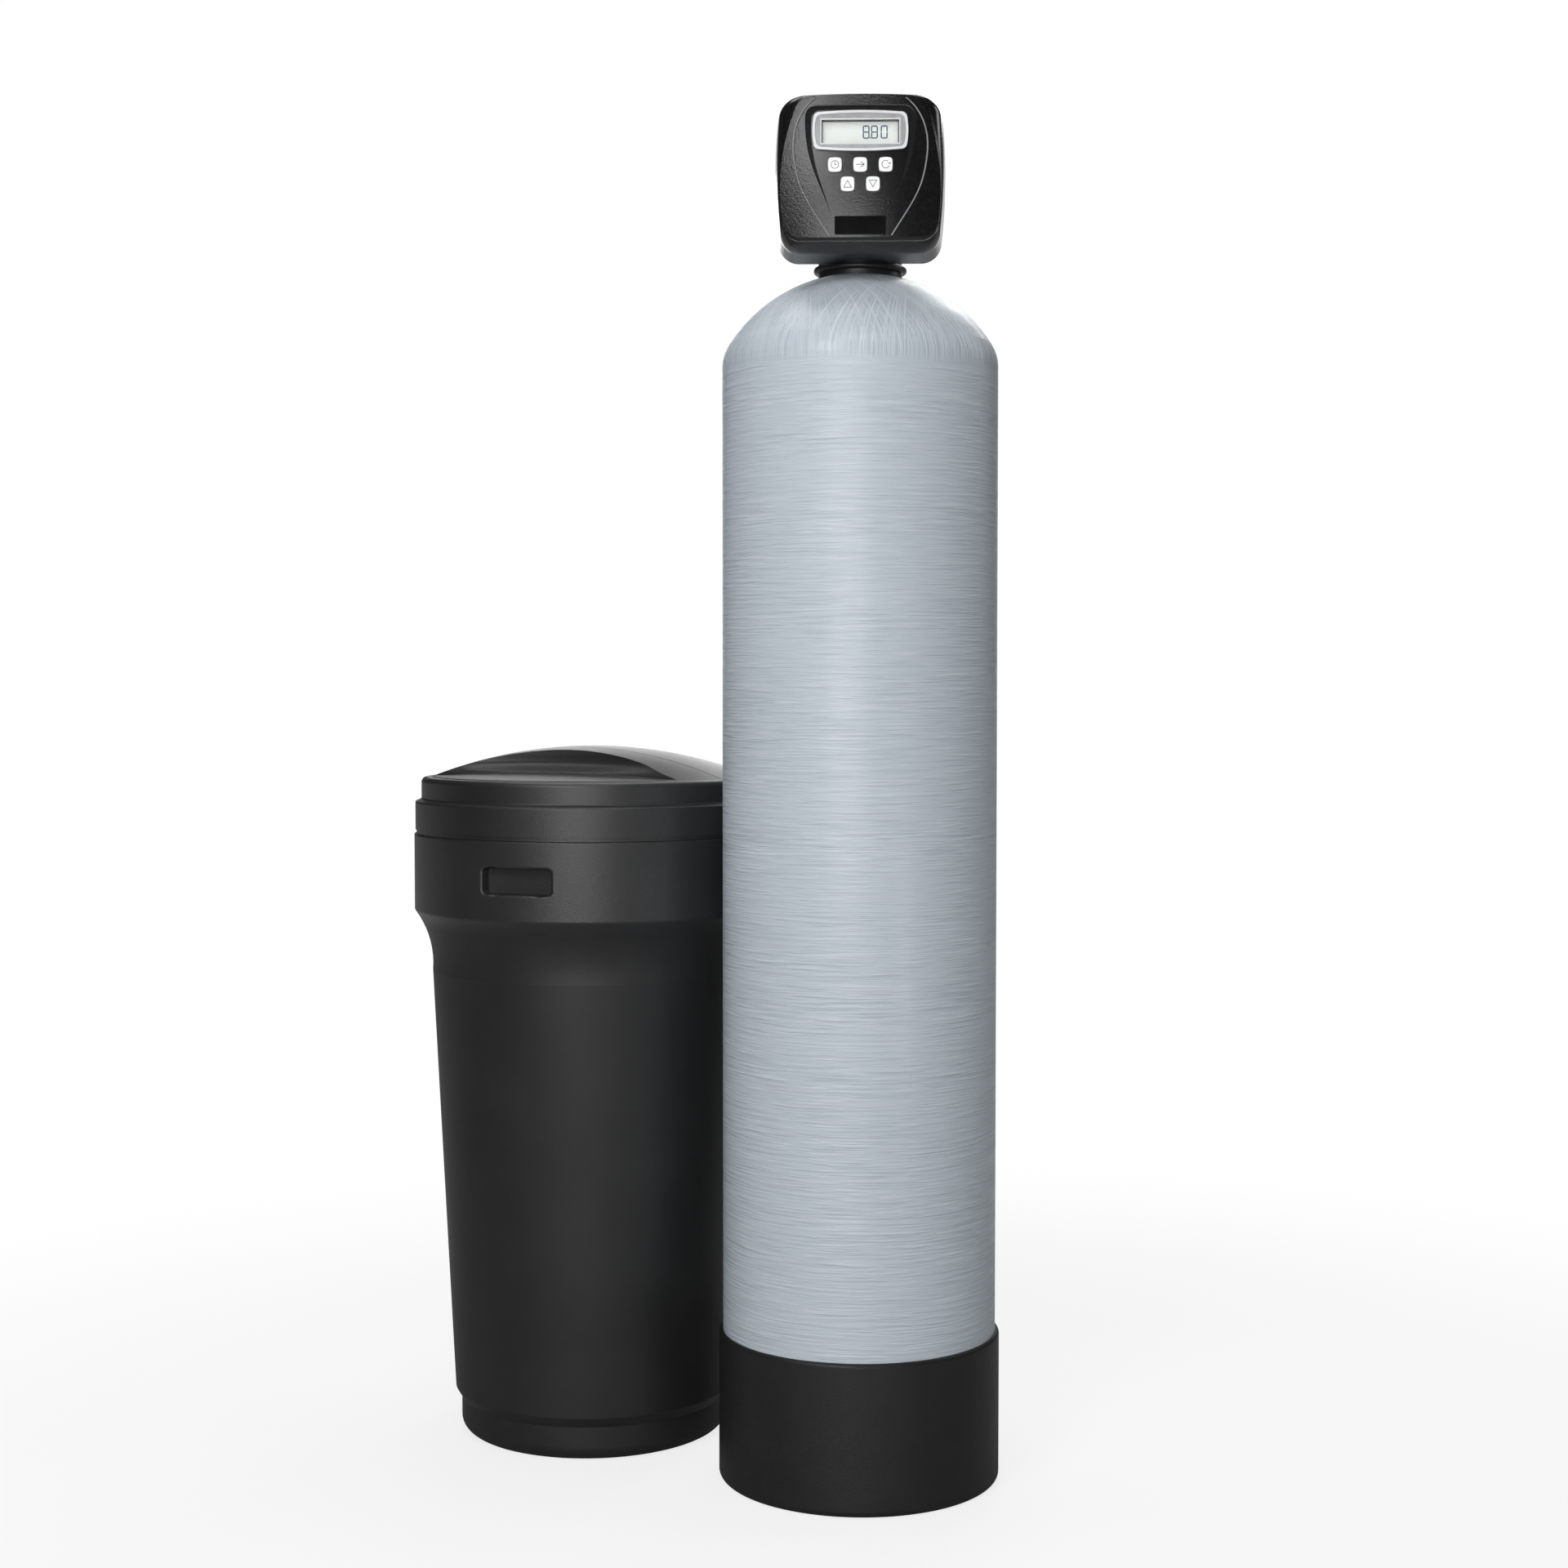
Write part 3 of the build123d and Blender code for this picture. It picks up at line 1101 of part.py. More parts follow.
def plate_screws():
    """The screws through the drive plate and the gear cover."""
    screw = rod(SCREW_HEAD_R, SCREW_HEAD)
    screw = fillet(screw.edges().sort_by(Axis.Z)[-1], SCREW_HEAD / 3)
    screw += Pos(0, 0, -SCREW_SHANK) * rod(SCREW_SHANK_R, SCREW_SHANK)
    screw -= Pos(0, 0, SCREW_HEAD / 2) * block(SCREW_HEAD_R, SCREW_HEAD / 3, SCREW_HEAD)
    screw -= Pos(0, 0, SCREW_HEAD / 2) * block(SCREW_HEAD / 3, SCREW_HEAD_R, SCREW_HEAD)
    screws = [front(PLATE_FRONT_Y) * (Pos(*place) * screw) for place in plate_screw_places()]
    screws.append(front(GEAR_COVER_BACK_Y - GEAR_COVER) * (Pos(*gear_cover_post()) * screw))
    return screws


# Front cover of the valve
def cover_low():
    """The height of the cover's lowest edge, at its rim."""
    return NECK_TOP + COVER_LOW_RISE


def cover_top():
    """The height of the cover's top edge before its crown."""
    return NECK_TOP + COVER_TOP_RISE


def barrel_outline(half, top_half, low_half, low, top, crown, corner):
    """A rounded square with bulged sides whose top and bottom may differ in width."""
    middle = NECK_TOP + COVER_CENTRE_RISE
    sides = [
        ThreePointArc((-top_half, top), (0, top + crown), (top_half, top)),
        ThreePointArc((top_half, top), (half, middle), (low_half, low)),
        Line((low_half, low), (-low_half, low)),
        ThreePointArc((-low_half, low), (-half, middle), (-top_half, top)),
    ]
    face = make_face(sides)
    return fillet(face.vertices(), corner)


def cheek_outline(share, inset):
    """The cover's outline between its shoulder (share 0) and its front face (share 1), drawn in by inset."""
    low = cover_low() + inset
    top = cover_top() - inset
    corner = COVER_CORNER_R - inset
    draft = inset + COVER_DRAFT
    shoulder = (RIM_HALF - draft, RIM_TOP_HALF - draft, RIM_LOW_HALF - draft, low + CHIN_RISE, top)
    face = (FACE_HALF - inset, FACE_TOP_HALF - inset, FACE_LOW_HALF - inset, low + FACE_LOW_RISE,
            top - FACE_TOP_DROP)
    sizes = [start + share * (end - start) for start, end in zip(shoulder, face)]
    return barrel_outline(*sizes, COVER_CROWN, corner - share * COVER_DRAFT)


def cover_form(inset, face_y):
    """The cover's whole form as a solid: drafted sides, then cheeks that round over to the front face."""
    rim = barrel_outline(RIM_HALF - inset, RIM_TOP_HALF - inset, RIM_LOW_HALF - inset,
                         cover_low() + inset, cover_top() - inset, COVER_CROWN, COVER_CORNER_R - inset)
    whole = 1 - sqrt(1 - COVER_ROUND_SHARE ** 2)
    cheeks = []
    for step in COVER_ROUND_SHARES:
        share = (1 - sqrt(1 - (step * COVER_ROUND_SHARE) ** 2)) / whole
        depth = COVER_SHOULDER_Y + step * (face_y - COVER_SHOULDER_Y)
        cheeks.append(front(depth) * cheek_outline(share, inset))
    return loft([front(COVER_RIM_Y) * rim, cheeks[0]], ruled=True) + loft(cheeks)


def panel_outline(side, top):
    """The shield-shaped panel's outline, let out by side at its sides and by top at its top."""
    low = NECK_TOP + PANEL_LOW_RISE
    high = NECK_TOP + PANEL_TOP_RISE + top
    half = PANEL_HALF + side
    corner_half = half - PANEL_DROP * 2
    share_points = [(0.42, 0.26), (0.78, 0.50), (0.97, 0.78)]
    spread = half - PANEL_LOW_HALF
    rise = high - low
    right = [(PANEL_LOW_HALF, low)]
    right += [(PANEL_LOW_HALF + spread * x, low + rise * z) for x, z in share_points]
    right += [(corner_half, high)]
    left = [(-x, z) for x, z in reversed(right)]
    face = make_face([
        Spline(*right),
        ThreePointArc(right[-1], (0, high + PANEL_DROP), left[0]),
        Spline(*left),
        Line(left[-1], right[0]),
    ])
    corners = face.vertices().sort_by(Axis.Y)[-2:]
    return fillet(corners, PANEL_CORNER_R + side / 2)


def rib_line(side, shift):
    """One of the long curved lines beside the panel, moved towards the middle by shift."""
    low = NECK_TOP + FACE_LOW_RISE + COVER_LOW_RISE
    high = cover_top() - FACE_TOP_DROP
    rise = high - low
    share_points = [(0.47, 0.01), (0.72, 0.20), (0.90, 0.37), (0.98, 0.53), (1.0, 0.68), (0.91, 0.85),
                    (0.68, 0.985)]
    return Spline(*[(side * (RIB_HALF * x - shift), low + rise * z) for x, z in share_points])


def rib_bands():
    """The thin raised ribs on both sides of the panel."""
    bands = []
    for side in (1, -1):
        outer = rib_line(side, 0.0)
        inner = rib_line(side, RIB_WIDTH)
        ends = [Line(outer @ 0, inner @ 0), Line(outer @ 1, inner @ 1)]
        bands.append(make_face([outer, inner] + ends))
    return bands


def button_face(widen):
    """A button's barrel-sided outline, let out by widen all round."""
    half_width = BUTTON_WIDTH / 2 + widen
    half_height = BUTTON_HEIGHT / 2 + widen
    return barrel(half_width, half_width - BUTTON_BULGE, -half_height + BUTTON_BULGE,
                  2 * (half_height - BUTTON_BULGE), BUTTON_BULGE, BUTTON_CORNER_R)


def bezel_outline(inset):
    """The display frame's barrel-shaped outline."""
    low = NECK_TOP + BEZEL_LOW_RISE + inset
    return barrel(BEZEL_HALF - inset, BEZEL_HALF - inset - BEZEL_BULGE, low + BEZEL_BULGE,
                  BEZEL_HEIGHT - 2 * (inset + BEZEL_BULGE), BEZEL_BULGE, BEZEL_CORNER_R)


def window_outline(widen):
    """The display window's rectangle, let out by widen all round."""
    middle = NECK_TOP + WINDOW_LOW_RISE + WINDOW_HEIGHT / 2
    return Pos(0, middle) * Rectangle(2 * (WINDOW_HALF + widen), WINDOW_HEIGHT + 2 * widen)


def front_cover():
    """The moulded cover: a shell with a recessed panel, a moat round it, ribs and openings."""
    shell = cover_form(0.0, COVER_FACE_Y)
    shell -= cover_form(COVER_WALL, COVER_INNER_Y)
    panel = panel_outline(0.0, 0.0)
    moat = panel_outline(MOAT_SIDE, MOAT_TOP)
    shell -= front(PANEL_Y) * extrude(panel, PANEL_DROP + OVERRUN)
    moat_cut = extrude(moat, MOAT_DEPTH + OVERRUN) - extrude(panel, MOAT_DEPTH + OVERRUN)
    shell -= front(COVER_FACE_Y + MOAT_DEPTH) * moat_cut
    for band in rib_bands():
        shell += front(COVER_FACE_Y) * extrude(band, RIB_HEIGHT)
    hole_reach = COVER_FACE_WALL + 2 * OVERRUN
    shell -= front(COVER_INNER_Y + OVERRUN) * extrude(window_outline(WINDOW_LEDGE), hole_reach)
    for x, rise in BUTTON_AT.values():
        hole = Pos(x, NECK_TOP + rise) * extrude(button_face(SLIDE_GAP), hole_reach)
        shell -= front(COVER_INNER_Y + OVERRUN) * hole
    notch_z = NECK_TOP + NOTCH_LOW_RISE + NOTCH_HEIGHT / 2
    notch = Pos(RIM_HALF, COVER_RIM_Y, notch_z) * Box(NOTCH_DEPTH, NOTCH_DEPTH, NOTCH_HEIGHT)
    return shell - notch


def display_bezel():
    """The silver frame round the display, with a raised rim and a sleeve into the cover."""
    reach = PANEL_Y - BEZEL_PROUD
    plate = front(PANEL_Y) * extrude(bezel_outline(0.0), BEZEL_PROUD)
    dish = front(reach + BEZEL_PROUD / 3) * extrude(bezel_outline(WINDOW_LEDGE), BEZEL_PROUD)
    sleeve = front(COVER_INNER_Y) * extrude(window_outline(WINDOW_LEDGE - SEAT_GAP), COVER_FACE_WALL)
    through = COVER_FACE_WALL + BEZEL_PROUD + 2 * OVERRUN
    opening = front(COVER_INNER_Y + OVERRUN) * extrude(window_outline(0.0), through)
    pocket_depth = OVERRUN + WINDOW_SHEET + SEAT_GAP
    pocket = front(COVER_INNER_Y + OVERRUN) * extrude(window_outline(WINDOW_LEDGE / 2), pocket_depth)
    return plate + sleeve - dish - opening - pocket


def display_window():
    """The clear sheet behind the frame's opening."""
    sheet = extrude(window_outline(WINDOW_LEDGE / 2 - SEAT_GAP), WINDOW_SHEET)
    return front(COVER_INNER_Y) * sheet


def badge_plate():
    """The bare dark plate under the buttons."""
    middle = NECK_TOP + BADGE_LOW_RISE + BADGE_HEIGHT / 2
    plate = extrude(Pos(0, middle) * RectangleRounded(2 * BADGE_HALF, BADGE_HEIGHT, BADGE), BADGE)
    return front(COVER_FACE_Y) * plate


def button(name):
    """One push button: a cap, a flange behind the panel and a stem towards its switch."""
    x, rise = BUTTON_AT[name]
    cap_back = COVER_INNER_Y + SEAT_GAP
    cap_length = cap_back - PANEL_Y + BUTTON_PROUD
    cap = extrude(button_face(0.0), cap_length)
    cap = fillet(cap.faces().sort_by(Axis.Z)[-1].edges(), BUTTON_BULGE)
    flange = Pos(0, 0, -BUTTON_FLANGE) * extrude(button_face(BUTTON_FLANGE_WIDTH), BUTTON_FLANGE)
    stem_length = stem_back() - cap_back
    stem = Pos(0, 0, -stem_length) * rod(BUTTON_STEM_R, stem_length)
    return front(cap_back) * (Pos(x, NECK_TOP + rise) * (cap + flange + stem))


def stem_back():
    """The depth of the end of a button's stem, clear of its switch by the travel and a little more."""
    return BOARD_FRONT_Y - SWITCH_HEIGHT - SWITCH_PLUNGER - BUTTON_TRAVEL - SEAT_GAP / 2


# Electronics
def circuit_board():
    """The board with its rear connectors, on four posts of the drive plate."""
    middle = NECK_TOP + BOARD_LOW_RISE + BOARD_HEIGHT / 2
    face = Pos(0, middle) * RectangleRounded(2 * BOARD_HALF, BOARD_HEIGHT, BOARD_MARGIN / 2)
    board = extrude(face, BOARD)
    for place in board_posts():
        board -= Pos(*place) * Pos(0, 0, -OVERRUN) * rod(BOARD_PIN_R + RUNNING_GAP, BOARD + 2 * OVERRUN)
    low = NECK_TOP + BOARD_LOW_RISE + CONNECTOR_HEIGHT
    for index in (-1, 0, 1):
        place = Pos(index * CONNECTOR_PITCH, low, -CONNECTOR_DEPTH)
        board += place * block(CONNECTOR_WIDTH, CONNECTOR_HEIGHT, CONNECTOR_DEPTH)
    return front(BOARD_BACK_Y) * board


def display_module():
    """The liquid crystal display on the front of the board."""
    return front(BOARD_FRONT_Y) * extrude(window_outline(LCD_MARGIN), LCD_DEPTH)


def tact_switches():
    """The five small switches behind the buttons."""
    switches = []
    for x, rise in BUTTON_AT.values():
        body = block(SWITCH_SIDE, SWITCH_SIDE, SWITCH_HEIGHT)
        body += Pos(0, 0, SWITCH_HEIGHT) * rod(SWITCH_PLUNGER_R, SWITCH_PLUNGER)
        switches.append(front(BOARD_FRONT_Y) * (Pos(x, NECK_TOP + rise) * body))
    return switches


# Brine tank
def tank_profile(inset, rim):
    """The brine tank's outer form drawn in by inset and closed flat at the height rim."""
    floor = inset
    foot = TANK_FOOT_R - inset
    low = TANK_LOW_R - inset
    waist = TANK_WAIST_R - inset
    band = TANK_BAND_R - inset
    corner = TANK_FOOT_CORNER_R - inset
    flare_mid = ((waist + band) / 2 - TANK_FLARE_SAG, 0, (TANK_WAIST_HEIGHT + TANK_BAND_LOW) / 2)
    return meridian(
        Line((0, 0, floor), (foot - corner, 0, floor)),
        arc_about((foot - corner, floor + corner), corner, -90, 0),
        Polyline((foot, 0, floor + corner), (foot, 0, TANK_FOOT_HEIGHT), (low, 0, TANK_LOW_HEIGHT),
                 (waist, 0, TANK_WAIST_HEIGHT)),
        ThreePointArc((waist, 0, TANK_WAIST_HEIGHT), flare_mid, (band, 0, TANK_BAND_LOW)),
        Polyline((band, 0, TANK_BAND_LOW), (band, 0, rim), (0, 0, rim), (0, 0, floor)),
    )


def tank_radius(height):
    """The brine tank's outer radius at a height on its long tapered wall."""
    share = (height - TANK_LOW_HEIGHT) / (TANK_WAIST_HEIGHT - TANK_LOW_HEIGHT)
    return TANK_LOW_R + share * (TANK_WAIST_R - TANK_LOW_R)


def brine_tank():
    """The blow-moulded tank with two hand grips and two flat bosses in its wall."""
    shell = turned(tank_profile(0.0, TANK_RIM), TANK_AT)
    rim_edges = [edge for edge in shell.edges().filter_by(GeomType.CIRCLE)
                 if abs(edge.radius - TANK_BAND_R) < OVERRUN and edge.center().Z > TANK_RIM - OVERRUN]
    shell = fillet(rim_edges, TANK_RIM_CORNER_R)
    band_edges = [edge for edge in shell.edges().filter_by(GeomType.CIRCLE)
                  if abs(edge.center().Z - TANK_BAND_LOW) < OVERRUN]
    shell = fillet(band_edges, TANK_BAND_EDGE_R)
    inside = turned(tank_profile(TANK_WALL, TANK_RIM + OVERRUN), TANK_AT)
    shell -= inside
    for angle in (-90 + TANK_TURN, 90 + TANK_TURN):
        shell += grip_pocket(angle) - grip_hollow(angle, OVERRUN)
        shell -= grip_hollow(angle, OVERRUN)
        shell = fillet(grip_mouth(shell, angle), GRIP_LIP_R)
    for angle, height, radius in wall_bosses():
        shell += wall_boss(angle, height, radius)
    shell -= radial(TANK_AT, OVERFLOW_TURN, 0.0, OVERFLOW_HEIGHT) * rod(OVERFLOW_R + SEAT_GAP, TANK_BAND_R)
    shell -= radial(TANK_AT, LINE_TURN, 0.0, LINE_HEIGHT) * rod(LINE_GROMMET_R - WASHER / 2, TANK_BAND_R)
    return shell


def grip_pocket(angle):
    """The pressed-in block that becomes the walls of a hand grip, inside the tank's wall."""
    depth = GRIP_DEPTH + TANK_WALL
    width = GRIP_WIDTH + 2 * TANK_WALL
    height = GRIP_HEIGHT + 2 * TANK_WALL
    place = radial(TANK_AT, angle, TANK_BAND_R - depth, GRIP_CENTRE)
    pocket = place * extrude(RectangleRounded(width, height, GRIP_CORNER_R + TANK_WALL), depth)
    return pocket & turned(tank_profile(TANK_WALL / 2, TANK_RIM), TANK_AT)


def grip_hollow(angle, overrun):
    """The space for the fingers in a hand grip, open to the outside."""
    place = radial(TANK_AT, angle, TANK_BAND_R - GRIP_DEPTH, GRIP_CENTRE)
    return place * extrude(RectangleRounded(GRIP_WIDTH, GRIP_HEIGHT, GRIP_CORNER_R), GRIP_DEPTH + overrun)


def grip_mouth(shell, angle):
    """The edges round the mouth of a hand grip, on the band's outer face."""
    mouth = Location((*away(TANK_AT, angle, TANK_BAND_R), GRIP_CENTRE)).position
    reach = sqrt(GRIP_WIDTH ** 2 + GRIP_HEIGHT ** 2) / 2 + OVERRUN
    edges = []
    for edge in shell.edges():
        middle = edge.center()
        proud = sqrt((middle.X - TANK_X) ** 2 + (middle.Y - TANK_Y) ** 2) - TANK_BAND_R
        if (middle - mouth).length < reach and abs(proud) < GRIP_LIP_R:
            edges.append(edge)
    return edges


def wall_bosses():
    """Angle, height and radius of the flat bosses for the overflow and for the brine line."""
    return [(OVERFLOW_TURN, OVERFLOW_HEIGHT, OVERFLOW_BOSS_R), (LINE_TURN, LINE_HEIGHT, LINE_BOSS_R)]


def boss_face(height, radius):
    """The distance of a boss's flat outer face from the tank's axis: just proud of the wall all round."""
    return tank_radius(height + radius) + SEAT_GAP


def wall_boss(angle, height, radius):
    """A flat round boss through the tank's wall."""
    face = boss_face(height, radius)
    return radial(TANK_AT, angle, face - OVERFLOW_BOSS, height) * rod(radius, OVERFLOW_BOSS)


# Lid of the brine tank
def lid_profile(inset):
    """Half of the lid's outer form drawn in by inset: skirt, shoulder, side and dome."""
    side = LID_SIDE_R - inset
    skirt = LID_SKIRT_R - inset
    edge = max(LID_EDGE_R - inset, LID_EDGE_R / 4)
    dome = LID_DOME_R - inset
    dome_z = LID_APEX - LID_DOME_R
    low = LID_SKIRT_LOW - (OVERRUN if inset else 0.0)
    shoulder_low = LID_SKIRT_TOP - inset
    shoulder_top = LID_SHOULDER_TOP - inset
    top_r = side - edge
    top_z = LID_SHELF - inset
    dome_edge = sqrt(dome ** 2 - (top_z - dome_z) ** 2)
    half_way = dome_z + sqrt(dome ** 2 - dome_edge ** 2 / 4)
    return meridian(
        Polyline((0, 0, low), (skirt, 0, low), (skirt, 0, shoulder_low), (side, 0, shoulder_top),
                 (side, 0, top_z - edge)),
        arc_about((top_r, top_z - edge), edge, 0, 90),
        Line((top_r, 0, top_z), (dome_edge, 0, top_z)),
        ThreePointArc((dome_edge, 0, top_z), (dome_edge / 2, 0, half_way), (0, 0, dome_z + dome)),
        Line((0, 0, dome_z + dome), (0, 0, low)),
    )


def scoop_section(share, height, inset):
    """The scoop's plan at a height: its back edge goes from the foot's chord to the top edge's arc."""
    middle = -LID_SCOOP_FOOT + share * (LID_SCOOP_FOOT - LID_SCOOP_MID) + inset
    half = LID_SCOOP_HALF + inset
    front_y = -LID_SKIRT_R - OVERRUN
    side = -LID_SCOOP_SIDE + inset
    plan = make_face([
        ThreePointArc((half, side), (0, middle), (-half, side)),
        Polyline((-half, side), (-half, front_y), (half, front_y), (half, side)),
    ])
    return Pos(0, 0, height - inset) * plan


def lid_scoop(inset):
    """The space in front of the coved wall and above the crowned shelf, moved in by inset."""
    rise = LID_APEX + OVERRUN - LID_SHELF
    sections = [scoop_section(share, LID_SHELF + level * rise, inset) for share, level in LID_SCOOP_SHARES]
    shelf_r = (LID_SIDE_R ** 2 + LID_SHELF_RISE ** 2) / (2 * LID_SHELF_RISE)
    shelf = Pos(0, 0, LID_SHELF + LID_SHELF_RISE - shelf_r - inset) * Sphere(shelf_r)
    return loft(sections) - shelf


def lid_outer():
    """The lid's outer form: dome, scoop and the fine groove across the dome."""
    form = revolve(lid_profile(0.0), axis=Axis.Z)
    steps = [edge for edge in form.edges().filter_by(GeomType.CIRCLE)
             if LID_SKIRT_TOP - OVERRUN / 4 < edge.center().Z < LID_SHOULDER_TOP + OVERRUN / 4]
    form = fillet(steps, LID_STEP_R)
    form -= lid_scoop(0.0)
    groove = Pos(0, -LID_GROOVE_Y, LID_SHELF) * block(2 * LID_SKIRT_R, LID_GROOVE, LID_APEX)
    dome = Pos(0, 0, LID_APEX - LID_DOME_R) * Sphere(LID_DOME_R - LID_GROOVE)
    return form - (groove - dome)


def brine_lid():
    """The domed lid, scooped at the front, that drops over the tank's rim."""
    inner = revolve(lid_profile(LID_WALL), axis=Axis.Z) - lid_scoop(LID_WALL)
    lid = lid_outer() - inner
    seat = TANK_RIM + SEAT_GAP
    ledge = Pos(0, 0, LID_SKIRT_LOW) * tube(LID_SEAM_R, LID_PLUG_R - LID_WALL, LID_SEAT_STEP)
    plug_low = seat - LID_PLUG_DEPTH
    plug_height = LID_SKIRT_LOW - plug_low + LID_SEAT_STEP
    plug = Pos(0, 0, plug_low) * tube(LID_PLUG_R, LID_PLUG_R - LID_WALL, plug_height)
    ring = Pos(0, 0, seat) * tube(LID_SEAM_R, LID_PLUG_R - LID_WALL, LID_SKIRT_LOW - seat + OVERRUN)
    lid = lid + ledge + plug + ring
    return Pos(TANK_X, TANK_Y, 0) * Rot(0, 0, LID_TURN) * lid


# Brine well and what it holds
def well_low():
    """The height of the brine tank's floor."""
    return TANK_WALL


def brine_well():
    """The upright tube in the brine tank, slotted at its foot."""
    low = well_low()
    well = Pos(*WELL_AT, low) * tube(WELL_R, WELL_R - WELL_WALL, WELL_TOP - low)
    slot = Pos(WELL_R, 0, WELL_SLOT_LOW) * block(WELL_WALL * 4, WELL_SLOT, WELL_SLOT_HEIGHT)
    for cut in ring_of(slot, WELL_SLOTS, WELL_AT):
        well -= cut
    hole_start = WELL_R - WELL_WALL * 3
    well -= radial(WELL_AT, LINE_TURN, hole_start, LINE_HEIGHT) * rod(LINE_R + SEAT_GAP, WELL_WALL * 4)
    return well


def brine_well_cap():
    """The cap on the brine well."""
    skirt_r = WELL_R + SLIDE_GAP + WELL_CAP
    cap = rod(skirt_r, WELL_CAP_SKIRT + WELL_CAP)
    cap = fillet(cap.edges().sort_by(Axis.Z)[-1], WELL_CAP / 2)
    cap -= Pos(0, 0, -OVERRUN) * rod(WELL_R + SLIDE_GAP, WELL_CAP_SKIRT + OVERRUN)
    return Pos(*WELL_AT, WELL_TOP + SEAT_GAP - WELL_CAP_SKIRT) * cap


def float_place():
    """The place of the float's rod, beside the pickup tube in the well."""
    return away(WELL_AT, LINE_TURN + 180, FLOAT_OFFSET)


def pickup_place():
    """The place of the pickup tube in the well."""
    return away(WELL_AT, LINE_TURN, PICKUP_OFFSET)


def safety_valve():
    """The valve body in the well that the float closes, with an arm to the brine line."""
    at = pickup_place()
    body = Pos(*at, SAFETY_LOW) * rod(SAFETY_R, SAFETY_HEIGHT)
    body &= Pos(*WELL_AT, 0) * rod(WELL_R - WELL_WALL - SEAT_GAP, WELL_TOP)
    reach = FLOAT_OFFSET + PICKUP_OFFSET
    lever = radial(at, LINE_TURN + 180, 0.0, LEVER_Z + SAFETY_ARM_R / 2) * extrude(
        RectangleRounded(2 * SAFETY_ARM_R, SAFETY_ARM_R, SAFETY_ARM_R / 4), reach + SAFETY_ARM_R)
    body += lever
    body -= Pos(*float_place(), 0) * rod(FLOAT_ROD_R + RUNNING_GAP, WELL_TOP)
    spigot_length = WELL_R - PICKUP_OFFSET + WELL_WALL
    body += radial(WELL_AT, LINE_TURN, PICKUP_OFFSET, LINE_HEIGHT) * rod(LINE_R, spigot_length)
    body -= Pos(*at, SAFETY_LOW - OVERRUN) * rod(PICKUP_R + RUNNING_GAP, SAFETY_ARM_R + OVERRUN)
    return body


def pickup_tube():
    """The tube from the air check up to the safety valve."""
    low = air_check_low() + AIR_CHECK_HEIGHT - SAFETY_ARM_R
    top = SAFETY_LOW + SAFETY_ARM_R - SEAT_GAP
    return Pos(*pickup_place(), low) * tube(PICKUP_R, PICKUP_R - PICKUP_WALL, top - low)


def air_check_low():
    """The height of the air check's foot on the tank's floor."""
    return TANK_WALL + SEAT_GAP


def air_check():
    """The cage at the pickup tube's foot with the loose ball that closes it when the brine runs out."""
    low = air_check_low()
    height = AIR_CHECK_HEIGHT
    inner = AIR_CHECK_R - WELL_WALL
    shoulder = height - 2 * SAFETY_ARM_R
    socket_low = height - SAFETY_ARM_R - SEAT_GAP
    socket = PICKUP_R + RUNNING_GAP
    body = turned(outline(
        [(0, 0), (AIR_CHECK_R, 0), (AIR_CHECK_R, shoulder), (PICKUP_R + WELL_WALL, height),
         (socket, height), (socket, socket_low), (PICKUP_R - OVERRUN, socket_low),
         (inner, shoulder - WELL_WALL),
         (inner, WELL_WALL), (0, WELL_WALL)],
        [0, WELL_WALL, WELL_WALL, 0, 0, 0, 0, 0, 0, 0],
    ))
    slot = Pos(AIR_CHECK_R, 0, 2 * WELL_WALL) * block(WELL_WALL * 4, WELL_SLOT, height / 2)
    for cut in ring_of(slot, AIR_CHECK_SLOTS):
        body -= cut
    ball = Pos(0, 0, WELL_WALL + AIR_CHECK_BALL_R) * Sphere(AIR_CHECK_BALL_R)
    return [Pos(*pickup_place(), low) * body, Pos(*pickup_place(), low) * ball]


def float_body():
    """The float on its rod, rounded at both ends."""
    body = rod(FLOAT_R, FLOAT_HEIGHT)
    body = fillet(body.edges().filter_by(GeomType.CIRCLE), FLOAT_R / 4)
    body -= Pos(0, 0, -OVERRUN) * rod(FLOAT_ROD_R + RUNNING_GAP, FLOAT_HEIGHT + 2 * OVERRUN)
    return Pos(*float_place(), FLOAT_LOW) * body


def float_rod():
    """The float's rod with a grommet above and below the float."""
    low = FLOAT_LOW - GROMMET - SEAT_GAP - GROMMET
    top = LEVER_Z + 2 * SAFETY_ARM_R + FLOAT_TRAVEL / 4
    body = Pos(0, 0, low) * rod(FLOAT_ROD_R, top - low)
    body += Pos(0, 0, FLOAT_LOW - SEAT_GAP - GROMMET) * rod(GROMMET_R, GROMMET)
    body += Pos(0, 0, FLOAT_LOW + FLOAT_HEIGHT + SEAT_GAP) * rod(GROMMET_R, GROMMET)
    body += Pos(0, 0, LEVER_Z + SAFETY_ARM_R + SEAT_GAP) * rod(GROMMET_R, GROMMET)
    return Pos(*float_place(), 0) * body


